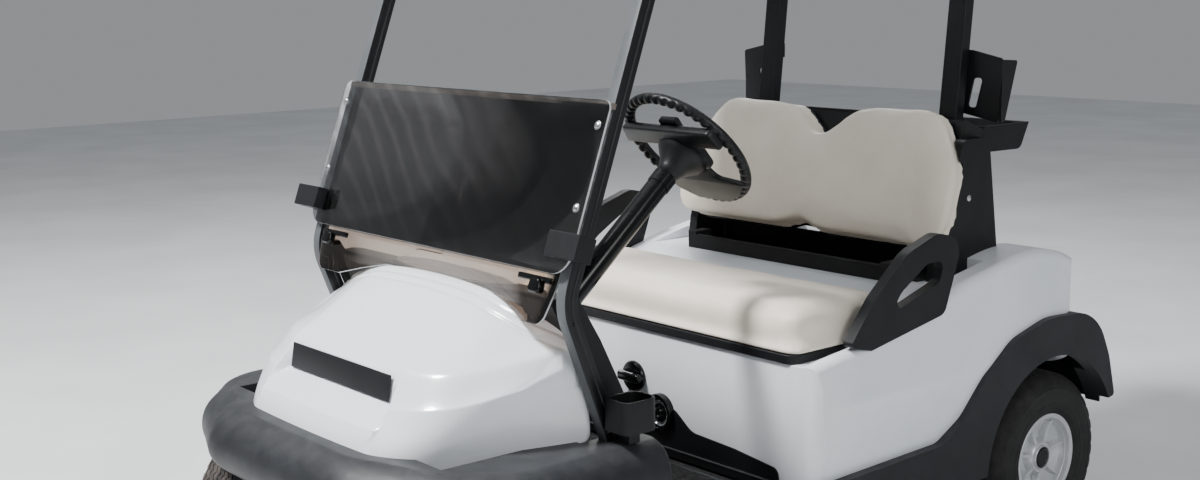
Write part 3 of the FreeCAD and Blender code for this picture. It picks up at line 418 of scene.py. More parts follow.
class CartColours(bpy.types.PropertyGroup):
    """Colours of the cart's main finishes, as sRGB hex values."""
    panel: bpy.props.StringProperty(name="Panel white", description="Gloss body panels", default="F2F5F9")
    panel_shade: bpy.props.StringProperty(name="Panel shade", description="Soiled parts of the panels",
                                          default="E6EBF0")
    vinyl: bpy.props.StringProperty(name="Seat vinyl", description="Upholstery", default="EDE4D6")
    vinyl_shade: bpy.props.StringProperty(name="Seat shade", description="Worn parts of the upholstery",
                                          default="E0D6C6")


class CartSizes(bpy.types.PropertyGroup):
    """Sizes of the dressing that a user may change."""
    pane_corner: bpy.props.FloatProperty(name="Pane corner radius", description="Corner radius of the panes",
                                         default=0.022, unit="LENGTH", subtype="DISTANCE")
    groove: bpy.props.FloatProperty(name="Cowl groove depth", description="Depth of the cowl's grooves",
                                    default=0.0035, unit="LENGTH", subtype="DISTANCE")
    swell: bpy.props.FloatProperty(name="Seat swell", description="How far the cushions may swell",
                                   default=0.014, unit="LENGTH", subtype="DISTANCE")


class DressStage(bpy.types.Operator):
    """Adds the floor, the lights and the camera at the photograph's angle"""
    bl_idname = "cart.dress_stage"
    bl_label = "Stage"

    def execute(self, context):
        floor_bm = bmesh.new()
        bmesh.ops.create_grid(floor_bm, x_segments=1, y_segments=1, size=14.0)
        mesh = bpy.data.meshes.new("studio_floor")
        floor_bm.to_mesh(mesh)
        floor_bm.free()
        floor = bpy.data.objects.new("studio_floor", mesh)
        context.scene.collection.objects.link(floor)
        floor_mat, tree, shader, coords = start("studio_floor_paper", Roughness=0.9)
        tree.links.new(blend(tree, mottle(tree, coords, 1.5), linear("D5D7D8"), linear("DEE0E1")),
                       shader.inputs["Base Color"])
        mesh.materials.append(floor_mat)
        world = bpy.data.worlds.new("studio_world")
        world.use_nodes = True
        world.node_tree.nodes["Background"].inputs["Color"].default_value = linear("E8ECF0")
        world.node_tree.nodes["Background"].inputs["Strength"].default_value = 0.36
        context.scene.world = world
        # name, place, aim, size, power in watts
        lamps = [("key_light", (-1.4, -3.2, 5.6), (0, -0.2, 0.6), 1.1, 760.0),
                 ("fill_light", (5.5, -1.0, 3.4), (0, 0.2, 0.6), 2.5, 110.0),
                 ("rim_light", (-3.5, 3.0, 4.5), (0, 0, 0.8), 2.5, 130.0)]
        for name, place, aim, size, power in lamps:
            lamp = bpy.data.lights.new(name, "AREA")
            lamp.shape = "DISK"
            lamp.size = size
            lamp.energy = power
            lamp_object = bpy.data.objects.new(name, lamp)
            lamp_object.location = place
            toward = Vector(aim) - Vector(place)
            lamp_object.rotation_euler = toward.to_track_quat("-Z", "Y").to_euler()
            context.scene.collection.objects.link(lamp_object)
        self.camera(context)
        return {"FINISHED"}

    def camera(self, context):
        """The photograph's own viewpoint, fitted to the cart's known sizes."""
        yaw, pitch, roll = math.radians(50.44), math.radians(9.54), math.radians(-0.84)
        focal_px, image_px = 1529.0, 1200.0
        aim = Vector((-math.sin(yaw) * math.cos(pitch), math.cos(yaw) * math.cos(pitch), -math.sin(pitch)))
        right = aim.cross(Vector((0, 0, 1))).normalized()
        up = right.cross(aim)
        turned_right = right * math.cos(roll) + up * math.sin(roll)
        turned_up = up * math.cos(roll) - right * math.sin(roll)
        camera = bpy.data.objects.new("photo_camera", bpy.data.cameras.new("photo_camera"))
        camera.data.sensor_width = 36.0
        camera.data.lens = focal_px / image_px * 36.0
        basis = Matrix((turned_right, turned_up, -aim)).transposed().to_4x4()
        camera.matrix_world = Matrix.Translation((2.829, -2.572, 1.484)) @ basis
        context.scene.collection.objects.link(camera)
        context.scene.camera = camera


# Half of the cowl's cage, from the middle to the left side: (x, y, z) in metres, rows from the foot up
COWL_CAGE = [
    [(0, -1.068, .526), (.236, -1.060, .526), (.246, -1.057, .526), (.298, -1.034, .524), (.346, -.990, .522),
     (.382, -.930, .522), (.428, -.806, .530), (.466, -.652, .538)],
    [(0, -1.056, .570), (.236, -1.049, .570), (.246, -1.046, .570), (.302, -1.025, .570), (.352, -.983, .571),
     (.389, -.924, .572), (.432, -.798, .576), (.468, -.656, .582)],
    [(0, -1.040, .599), (.240, -1.033, .599), (.250, -1.017, .603), (.310, -.998, .605), (.360, -.965, .610),
     (.398, -.905, .616), (.438, -.795, .626), (.470, -.660, .638)],
    [(0, -.985, .633), (.222, -.981, .634), (.241, -.997, .640), (.320, -.974, .643), (.366, -.936, .651),
     (.402, -.880, .662), (.444, -.788, .688), (.471, -.662, .714)],
    [(0, -.972, .640), (.214, -.969, .640), (.232, -.985, .652), (.316, -.958, .660), (.358, -.918, .668),
     (.388, -.862, .678), (.437, -.778, .704), (.466, -.672, .728)],
    [(0, -.962, .698), (.211, -.959, .698), (.226, -.953, .703), (.305, -.926, .704), (.346, -.890, .707),
     (.377, -.838, .714), (.428, -.758, .734), (.462, -.672, .752)],
    [(0, -.946, .708), (.213, -.943, .709), (.229, -.938, .712), (.300, -.915, .713), (.341, -.879, .716),
     (.372, -.828, .722), (.423, -.752, .741), (.459, -.672, .758)],
    [(0, -.886, .755), (.212, -.883, .747), (.229, -.881, .743), (.287, -.862, .736), (.328, -.832, .735),
     (.361, -.790, .738), (.412, -.730, .752), (.452, -.672, .766)],
    [(0, -.822, .797), (.214, -.820, .787), (.232, -.818, .783), (.280, -.806, .775), (.318, -.786, .768),
     (.350, -.756, .765), (.400, -.712, .770), (.444, -.672, .776)],
    [(0, -.770, .829), (.200, -.769, .820), (.228, -.767, .815), (.268, -.760, .807), (.305, -.748, .798),
     (.338, -.730, .791), (.386, -.700, .788), (.434, -.672, .787)],
    [(0, -.722, .850), (.190, -.721, .843), (.220, -.720, .838), (.258, -.717, .830), (.294, -.711, .821),
     (.328, -.702, .811), (.376, -.688, .803), (.424, -.672, .796)],
    [(0, -.660, .868), (.190, -.660, .861), (.220, -.660, .856), (.258, -.660, .848), (.294, -.660, .840),
     (.328, -.660, .831), (.370, -.662, .818), (.412, -.668, .804)],
]


def lofted(rows, creases=()):
    """A sheet extruded from row to row; creases are runs of (row, column) places with a weight."""
    bm = bmesh.new()
    weight_layer = bm.edges.layers.float.new("crease_edge")
    edges = lines(bm, rows[0])
    grid = [bm.verts[:]]
    for row in rows[1:]:
        made = bmesh.ops.extrude_edge_only(bm, edges=edges)["geom"]
        fresh = only(made, bmesh.types.BMVert)
        line = [min(fresh, key=lambda v, old=old: (v.co - old.co).length) for old in grid[-1]]
        edges = [e for e in only(made, bmesh.types.BMEdge) if e.verts[0] in fresh and e.verts[1] in fresh]
        for vert, place in zip(line, row):
            vert.co = place
        grid.append(line)
    for run, weight in creases:
        for (r0, c0), (r1, c1) in zip(run, run[1:]):
            edge = bm.edges.get((grid[r0][c0], grid[r1][c1]))
            edge[weight_layer] = weight
    return bm


# The two grooves behind the cowl's dome: the first one's y in the middle, how far it sweeps back at the
# sides, the second one's distance behind it, half their width and the step down past them
GROOVE_Y = -0.757
GROOVE_SWEEP = 0.056
GROOVE_PITCH = 0.022
GROOVE_WIDTH = 0.0035
GROOVE_STEP = 0.0015
# The badge plate's lower and upper edge in the middle, and half its length
BADGE_LOW = Vector((0, -0.9718, 0.6415))
BADGE_HIGH = Vector((0, -0.9625, 0.6965))
BADGE_HALF = 0.205


def groove_y(x):
    """Where the cowl's groove arch runs, x from the middle."""
    return GROOVE_Y + GROOVE_SWEEP * max(0.0, min(1.0, (abs(x) - 0.25) / 0.2)) ** 1.5


class DressCowl(bpy.types.Operator):
    """Builds the white nose with its raised badge panel, belt crease and rear groove"""
    bl_idname = "cart.dress_cowl"
    bl_label = "Cowl"

    def execute(self, context):
        creases = [
            ([(2, 0), (2, 1)], 1.0),
            ([(1, 1), (2, 1)], 0.7),
            ([(2, 1), (3, 1), (4, 1), (5, 1)], 0.9),
            ([(2, 1), (2, 2)], 0.8),
            ([(2, 2), (3, 2)], 0.9),
            ([(3, 2), (3, 3), (3, 4)], 0.95),
            ([(3, 4), (3, 5), (3, 6)], 0.7),
            ([(3, 0), (3, 1)], 0.7),
            ([(4, 0), (4, 1)], 0.9),
            ([(5, 0), (5, 1)], 0.9),
            ([(6, 0), (6, 1), (6, 2)], 0.7),
            ([(3, 2), (4, 2), (5, 2), (6, 2)], 0.95),
            ([(6, 2), (7, 2)], 0.8),
            ([(7, 2), (8, 2)], 0.45),
        ]
        bm = lofted(COWL_CAGE, creases)
        mirrored(bm)
        cowl = finish_piece(bm, "cowl_shell", "chassis", "white", ("cowl",), angle=180)
        subdivided(cowl, 4)
        baked(cowl)
        depth = context.scene.cart_sizes.groove
        bm = bmesh.new()
        bm.from_mesh(cowl.data)
        bm.normal_update()
        for vert in bm.verts:
            if vert.co.z < 0.67 or vert.co.y < -0.79:
                continue
            past = vert.co.y - groove_y(vert.co.x)
            sunk = 0.0
            for line in (0.0, GROOVE_PITCH):
                sunk = max(sunk, math.exp(-((past - line) / GROOVE_WIDTH) ** 2))
            sunk = depth * sunk + (GROOVE_STEP if past > GROOVE_PITCH else 0.0)
            vert.co -= vert.normal * sunk
        bm.to_mesh(cowl.data)
        bm.free()
        wall = cowl.modifiers.new("Wall", "SOLIDIFY")
        wall.thickness = 0.004
        wall.offset = -1
        self.badge()
        return {"FINISHED"}

    def badge(self):
        """The bare plate on the cowl's sloping face."""
        along = (BADGE_HIGH - BADGE_LOW).normalized()
        out = Vector((0, -along.z, along.y))
        corners = []
        for side, end in ((-1, BADGE_LOW), (1, BADGE_LOW), (1, BADGE_HIGH), (-1, BADGE_HIGH)):
            corners.append(end + Vector((side * BADGE_HALF, 0, 0)) + out * 0.001)
        bm = plate(corners, out * 0.0022, 0.0008, 2)
        finish_piece(bm, "badge_bare_plate", "chassis", "black", ("badge_plate",))


# How far the bumper's front corners are drawn in, in metres
CORNER_PULL = 0.034


class DressBody(bpy.types.Operator):
    """Rounds and finishes the moulded panels, posts and brackets that keep their CAD forms"""
    bl_idname = "cart.dress_body"
    bl_label = "Body"

    def execute(self, context):
        # node, finish, rounding in millimetres, body
        table = [
            ("front_skirt", "bumper", 0, "chassis"), ("rear_body", "white", 7, "chassis"),
            ("rear_fenders", "bumper", 17, "chassis"), ("rear_bumper", "bumper", 12, "chassis"),
            ("bag_well", "black", 3, "chassis"), ("dash", "black", 3, "chassis"),
            ("side_panels", "black", 2, "chassis"), ("bottle_holders", "black", 2, "chassis"),
            ("hip_restraints", "black", 11, "chassis"), ("seat_supports", "black", 4, "chassis"),
            ("heel_panel", "black", 1, "chassis"), ("roof", "white", 0, "chassis"),
            ("seat_rail", "black", 2, "chassis"), ("rear_struts", "steel", 3, "chassis"),
            ("bag_brackets", "steel", 1, "chassis"), ("basket", "black", 2, "chassis"),
            ("cross_bar", "steel", 2, "chassis"), ("seat_pan", "black", 3, "seat_bottom"),
            ("seat_back_shell", "black", 3, "chassis"), ("windshield_clips", "black", 2, "chassis"),
            ("pedals", "steel", 1, "chassis"), ("floor_panel", "mat", 1, "chassis"),
            ("battery_pack", "black", 4, "chassis"), ("charge_receptacle", "gloss_black", 2, "chassis"),
            ("steering_column", "gloss_black", 0, "chassis"), ("frame_rails", "alloy", 1, "chassis"),
            ("cross_members", "alloy", 1, "chassis"), ("front_axle", "gear", 1, "chassis"),
            ("rear_axle", "gear", 1, "chassis"), ("suspension", "gear", 1, "chassis"),
            ("knuckle_left", "gear", 1, "knuckle_left"), ("knuckle_right", "gear", 1, "knuckle_right"),
            ("steering_rack", "gear", 1, "steering_rack"),
        ]
        for node, finish, rounding, body in table:
            bm = from_node(node)
            if node == "front_skirt":
                self.soften_corners(bm)
            if rounding:
                round_edges(bm, rounding * MM, 3 if rounding > 2 else 2)
            piece = finish_piece(bm, node + "_dressed", body, finish, (node,), angle=38)
            piece.modifiers.new("Normals", "WEIGHTED_NORMAL").keep_sharp = True
        return {"FINISHED"}

    def soften_corners(self, bm):
        """Draws the bumper's two front corners in, as the moulding's are."""
        for vert in bm.verts:
            aside = max(0.0, min(1.0, (abs(vert.co.x) - 0.28) / 0.24))
            ahead = max(0.0, min(1.0, (-0.96 - vert.co.y) / 0.14))
            pull = CORNER_PULL * aside * ahead
            vert.co.x -= math.copysign(pull * 0.75, vert.co.x)
            vert.co.y += pull * 0.66


# The front struts' upper centre line, and the direction square to it, forwards
STRUT_KNEE = Vector((0, -0.732, 0.852))
STRUT_UP = Vector((0, 0.34478, 0.93869))
STRUT_OUT = Vector((0, -0.93869, 0.34478))


def on_strut(x, z, out=0.0):
    """A point over the struts' centre line at height z, moved forwards by out."""
    return STRUT_KNEE + STRUT_UP * ((z - STRUT_KNEE.z) / STRUT_UP.z) + STRUT_OUT * out + Vector((x, 0, 0))


def fasteners(name, body, key, table):
    """Button-head screws on washers: each row has a place, the way it faces and its head's radius."""
    bm = bmesh.new()
    for place, facing, r in table:
        washer = [(0, 0), (0, r * 1.35), (r * 0.12, r * 1.35), (r * 0.16, r * 1.25), (r * 0.16, 0)]
        head = [(0, 0), (0, r), (r * 0.35, r * 0.97), (r * 0.6, r * 0.6), (r * 0.62, r * 0.42),
                (r * 0.3, r * 0.4), (r * 0.3, 0)]
        joined(bm, turned(washer, place, facing, 24))
        joined(bm, turned(head, place, facing, 24))
    return finish_piece(bm, name, body, key)


# The panes' thickness, and how far in front of the struts' centre line each one's back lies
PANE_THICK = 0.005
FIXED_OUT = 0.009
FOLDED_OUT = 0.030
# Where the fixed pane starts to lean back, over what height, and how far it does
LEAN_TOP = 0.9
LEAN_HEIGHT = 0.07
LEAN_BACK = 0.052


class DressWindshield(bpy.types.Operator):
    """Makes the two panes with their screws, hinge strip and latches"""
    bl_idname = "cart.dress_windshield"
    bl_label = "Windshield"

    def execute(self, context):
        corner = context.scene.cart_sizes.pane_corner
        # half of the pane's outline, from the middle of its foot: x, height, corner radius
        half = [(0.20, 0.838, 0), (0.30, 0.818, 0), (0.37, 0.800, 0), (0.446, 0.806, 0.02),
                (0.466, 0.880, 0.02), (0.4725, 1.243, 0.006)]
        outline = half + [(-x, z, r) for x, z, r in reversed(half)]
        points = [on_strut(x, z, FIXED_OUT) for x, z, r in outline]
        bm = plate(points, STRUT_OUT * PANE_THICK, 0.0008, 2, [r for x, z, r in outline])
        self.lean(bm)
        self.frost(bm)
        finish_piece(bm, "windshield_fixed_pane", "chassis", "pane", ("windshield_lower",),
                     extra=("pane_edge",))
        low, high, half_width = 0.904, 1.243, 0.511
        places = ((-half_width, low), (half_width, low), (half_width, high), (-half_width, high))
        outline = [on_strut(x, z, FOLDED_OUT) for x, z in places]
        bm = plate(outline, STRUT_OUT * PANE_THICK, 0.0008, 2, (0.05, 0.05, corner, corner))
        self.frost(bm)
        finish_piece(bm, "windshield_folded_pane", "chassis", "pane_clear", ("windshield_upper",),
                     extra=("pane_edge",))
        screws = [(on_strut(side * 0.488, z, FOLDED_OUT + PANE_THICK), STRUT_OUT, 0.007)
                  for side in (-1, 1) for z in (1.193, 1.033)]
        fasteners("windshield_screws", "chassis", "screw", screws)
        places = ((-0.49, 1.229), (0.505, 1.229), (0.505, 1.2405), (-0.49, 1.2405))
        bm = plate([on_strut(x, z, 0.0145) for x, z in places], STRUT_OUT * 0.0153, 0.001, 2)
        finish_piece(bm, "windshield_hinge_strip", "chassis", "hinge")
        self.latches()
        return {"FINISHED"}

    def lean(self, bm):
        """Bends the fixed pane's foot back over the cowl's grooves."""
        cuts = [((0, 0, LEAN_TOP - 0.005 * step), (0, 0, 1)) for step in range(15)]
        cuts += [((0.02 * step, 0, 0), (1, 0, 0)) for step in range(-21, 22)]
        for place, facing in cuts:
            bmesh.ops.bisect_plane(bm, geom=bm.verts[:] + bm.edges[:] + bm.faces[:], plane_co=place,
                                   plane_no=facing)
        for vert in bm.verts:
            drop = max(0.0, min(1.0, (LEAN_TOP - vert.co.z) / LEAN_HEIGHT))
            vert.co.y += LEAN_BACK * drop * max(0.0, 1 - (vert.co.x / 0.43) ** 2)

    def frost(self, bm):
        """Gives the panes' sawn edges their own finish."""
        bm.normal_update()
        for face in bm.faces:
            if abs(face.normal.dot(STRUT_OUT)) < 0.7:
                face.material_index = 1

    def latches(self):
        """Turn latches at the fixed pane's foot, each a bar with a round grip that hangs from it."""
        bm = bmesh.new()
        places = ((0.345, 0.884), (0.452, 0.884), (0.452, 0.896), (0.345, 0.896))
        joined(bm, plate([on_strut(x, z, 0.0142) for x, z in places], STRUT_OUT * 0.010, 0.003, 3))
        places = ((0.395, 0.862), (0.436, 0.862), (0.43, 0.89), (0.4, 0.89))
        joined(bm, plate([on_strut(x, z, 0.0145) for x, z in places], STRUT_OUT * 0.020, 0.005, 3,
                         (0.012, 0.012, 0, 0)))
        mirrored(bm)
        finish_piece(bm, "windshield_latches", "chassis", "gloss_black")


class DressStruts(bpy.types.Operator):
    """Finishes the front struts: grooved side faces, front faces in a paler coat that paints a reflection,
    bolts at their feet
    """
    bl_idname = "cart.dress_struts"
    bl_label = "Front struts"

    def execute(self, context):
        bm = from_node("front_struts")
        round_edges(bm, 0.0007, 2)
        # forward-looking faces take the paler coat, a painted reflection
        bm.normal_update()
        for face in bm.faces:
            if face.normal.y < -0.7:
                face.material_index = 1
        finish_piece(bm, "front_struts_dressed", "chassis", "steel", ("front_struts",), extra=("front_face_painted_reflection",))
        bolts = [((side * 0.5, y, z), (side, 0, 0), r) for side in (-1, 1)
                 for y, z, r in ((-0.629, 0.575, 0.0065), (-0.7225, 0.812, 0.0045))]
        fasteners("strut_bolts", "chassis", "gloss_black", bolts)
        return {"FINISHED"}


# The steering wheel's own frame: X across, Y from its top towards the driver's lap, Z up the column
COLUMN_TILT = math.radians(40.8)
RISE, REACH = math.sin(COLUMN_TILT), math.cos(COLUMN_TILT)
WHEEL_FRAME = Matrix(((1, 0, 0, 0.25), (0, RISE, REACH, -0.177), (0, -REACH, RISE, 1.105), (0, 0, 0, 1)))


class DressSteering(bpy.types.Operator):
    """Builds the steering wheel with its finger notches, bar, card holder, spokes and hub"""
    bl_idname = "cart.dress_steering"
    bl_label = "Steering wheel"

    def execute(self, context):
        bm = self.rim()
        # outline in millimetres, corner radii, underside, top, rounding of the edges
        spoke = [(26, 6), (56, 78), (136, 90), (98, 130), (52, 154)]
        spokes = spoke + [(-x, y) for x, y in reversed(spoke)]
        solids = [
            ([(-146, -85), (146, -85), (158, -35), (-158, -35)], (10, 10, 8, 8), -28, -5, 7),
            ([(-118, -76), (118, -76), (126, -46), (-126, -46)], (8, 8, 8, 8), -10, -2, 3),
            (spokes, (4, 14, 4, 4, 4, 4, 4, 4, 14, 4), -17, -4, 3),
            ([(-62, -62), (62, -62), (62, 52), (-62, 52)], (14, 14, 20, 20), -16, 4, 5),
            ([(-50, -50), (50, -50), (50, 40), (-50, 40)], (10, 10, 14, 14), 2, 6, 2),
            ([(-30, -95), (30, -95), (26, -56), (-26, -56)], (8, 8, 4, 4), -6, 11, 4),
        ]
        for outline, corners, low, high, rounding in solids:
            points = [Vector((x, y, low)) * MM for x, y in outline]
            radii = [r * MM for r in corners]
            joined(bm, plate(points, Vector((0, 0, high - low)) * MM, rounding * MM, 3, radii))
        # the bell under the hub: distance along the column, radius
        bell = [(-0.0896, 0), (-0.0896, 0.022), (-0.0875, 0.0252), (-0.074, 0.029), (-0.058, 0.036),
                (-0.042, 0.050), (-0.030, 0.060), (-0.018, 0.0645), (-0.010, 0.062), (-0.010, 0)]
        joined(bm, turned(bell, (0, 0, 0), (0, 0, 1), 64))
        bmesh.ops.transform(bm, matrix=WHEEL_FRAME, verts=bm.verts)
        finish_piece(bm, "steering_wheel_moulding", "steering_wheel", "grip", ("steering_wheel",), angle=42)
        return {"FINISHED"}

    def rim(self):
        """The ring, notched for the fingers all round its underside."""
        radius, grip, notches = 0.160, 0.013, 44
        bm = bmesh.new()
        bmesh.ops.create_circle(bm, segments=20, radius=grip)
        bmesh.ops.rotate(bm, verts=bm.verts, cent=(0, 0, 0), matrix=Matrix.Rotation(math.pi / 2, 3, "X"))
        bmesh.ops.translate(bm, verts=bm.verts, vec=(radius, 0, 0))
        bmesh.ops.spin(bm, geom=bm.verts[:] + bm.edges[:], cent=(0, 0, 0), axis=(0, 0, 1), angle=math.tau,
                       steps=notches * 8, use_merge=True)
        bmesh.ops.remove_doubles(bm, verts=bm.verts, dist=1e-5)
        for vert in bm.verts:
            centre = Vector((vert.co.x, vert.co.y, 0)).normalized() * radius
            below = max(0.0, (centre.z - vert.co.z) / grip - 0.15)
            wave = (0.5 + 0.5 * math.cos(notches * math.atan2(vert.co.y, vert.co.x))) ** 2
            vert.co += (centre - vert.co).normalized() * 0.0042 * wave * min(1.0, below * 2.0)
        return bm


# The cushions' mesh size, their smoothing before and after the cloth, how much of the swell they are drawn
# in by first, and the cloth's frames
CUSHION_CELL = 0.009
SMOOTHING = 34
IRONING = 12
DRAWN_IN = 0.35
CLOTH_FRAMES = 20
# A point at the foot of the seat back, and the way its front faces
BACK_FOOT = Vector((0, 0.475, 0.827))
BACK_FACING = Vector((0, -math.cos(math.radians(21.2)), math.sin(math.radians(21.2))))


def smoothed(bm, verts, times):
    """Evens out the vertices' places."""
    for _ in range(times):
        bmesh.ops.smooth_vert(bm, verts=verts, factor=0.5, use_axis_x=True, use_axis_y=True,
                              use_axis_z=True)


def padded(node, name, body, cap, rests):
    """A cushion from its CAD solid: remeshed, drawn in, then swollen as cloth by cap at most."""
    bm = from_node(node)
    piece = finish_piece(bm, name, body, "vinyl", (node,), angle=180)
    mod = piece.modifiers.new("Cells", "REMESH")
    mod.mode = "VOXEL"
    mod.voxel_size = CUSHION_CELL
    baked(piece)
    bm = bmesh.new()
    bm.from_mesh(piece.data)
    free = [v for v in bm.verts if not rests(v.co)]
    smoothed(bm, free, SMOOTHING)
    bm.normal_update()
    for vert in free:
        vert.co -= vert.normal * cap * DRAWN_IN
    bm.to_mesh(piece.data)
    bm.free()
    places = [v.co.copy() for v in piece.data.vertices]
    cloth = piece.modifiers.new("Cloth", "CLOTH").settings
    cloth.quality = 4
    cloth.mass = 0.3
    cloth.tension_stiffness = 20
    cloth.compression_stiffness = 20
    cloth.bending_stiffness = 1.0
    cloth.use_pressure = True
    cloth.uniform_pressure_force = 4.0
    cloth.effector_weights.gravity = 0.0
    for number in range(1, CLOTH_FRAMES + 1):
        bpy.context.scene.frame_set(number)
    baked(piece)
    bpy.context.scene.frame_set(1)
    for vert, place in zip(piece.data.vertices, places):
        move = vert.co - place
        if rests(place):
            vert.co = place
        elif move.length > cap:
            vert.co = place + move.normalized() * cap
    # the stretched cover irons out the buckles that the pressure leaves along its sides
    bm = bmesh.new()
    bm.from_mesh(piece.data)
    smoothed(bm, [v for v in bm.verts if not rests(v.co)], IRONING)
    bm.to_mesh(piece.data)
    bm.free()
    piece.data.shade_smooth()
    if not piece.data.materials:
        piece.data.materials.append(material("vinyl"))
    return piece


class DressSeats(bpy.types.Operator):
    """Makes the bench cushion and the two-lobed back in cream vinyl"""
    bl_idname = "cart.dress_seats"
    bl_label = "Seats"

    def execute(self, context):
        cap = context.scene.cart_sizes.swell
        foot_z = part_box("seat_cushion")[0][2]
        cushion = padded("seat_cushion", "seat_cushion_vinyl", "seat_bottom", cap,
                         lambda p: p.z < foot_z + 0.006)
        for vert in cushion.data.vertices:
            # slow waves in the cover, on its top only
            top = max(0.0, min(1.0, (vert.co.z - foot_z - 0.03) / 0.05))
            slow = noise.noise(vert.co * 5.0) * 0.0022 + noise.noise(vert.co * 16.0) * 0.0008
            vert.co.z += top * slow
        subdivided(cushion, 1)
        back = padded("seat_back", "seat_back_vinyl", "chassis", cap,
                      lambda p: (p - BACK_FOOT).dot(BACK_FACING) < -0.024)
        for vert in back.data.vertices:
            if (vert.co - BACK_FOOT).dot(BACK_FACING) < 0.005:
                continue
            # a sloping seam near each side, and slow waves in the cover
            seam = abs(abs(vert.co.x) - 0.336 - (1.144 - vert.co.z) * 0.26)
            slow = noise.noise(vert.co * 4.0) * 0.002 + noise.noise(vert.co * 14.0) * 0.0007
            vert.co += BACK_FACING * (slow - 0.0016 * math.exp(-(seam / 0.0045) ** 2))
        subdivided(back, 1)
        return {"FINISHED"}


# Tyre outline from the bead to the middle of the tread: distance from the middle, radius, in millimetres
TYRE_HALF = [
    (85.7, 112), (87.7, 121.3), (90, 123.5), (93, 130), (95.5, 133), (96.8, 134), (97.2, 138),
    (98.2, 144), (99.3, 145.5), (99.5, 148), (98.9, 149.5), (99.5, 158), (99.9, 166), (99.6, 176),
    (98.6, 186), (99.2, 187.5), (98.8, 190), (97.4, 191.5), (95.6, 198), (93, 205), (89, 212.5),
    (84, 218), (77, 222.5), (68, 225.6), (61, 227), (60.5, 222), (57, 222), (56.5, 227.4), (41, 228.2),
    (40.5, 223.5), (37.5, 223.5), (37, 228.3), (21, 228.5), (20.5, 223.5), (17.5, 223.5), (17, 228.5),
    (2, 228.5), (1.5, 223.5), (0, 223.5),
]
# Wheel outline from its back, through the barrel and the dish, to the hub, outwards from the middle
RIM_PROFILE = [
    (46, 0), (46, 40), (40, 52), (40, 80), (44, 92), (52, 103.5), (-60, 103.5), (-70, 106.7),
    (-91, 106.7), (-91, 121), (-88, 121), (-86, 111.7), (86, 111.7), (88, 120.6), (90, 121.2),
    (91.2, 119.5), (91.2, 112), (89.5, 108.6), (84, 106), (79, 104.8), (77.5, 102.8), (72, 101.5),
    (64, 97), (58, 86), (53.5, 70), (52, 60), (54.5, 51), (62, 46.5), (72.5, 42.5), (75, 39.5),
    (75, 34.2), (78.5, 33), (80.5, 31.2), (80, 29.4), (76.5, 28.6), (73.5, 28.4), (73.5, 0),
]
# Hub cap outline, likewise
CAP_PROFILE = [(73.6, 0), (73.6, 28), (78.4, 27.2), (80.2, 24), (80.2, 19.5), (79.4, 18.6), (79.6, 0)]


SPOKES = 7


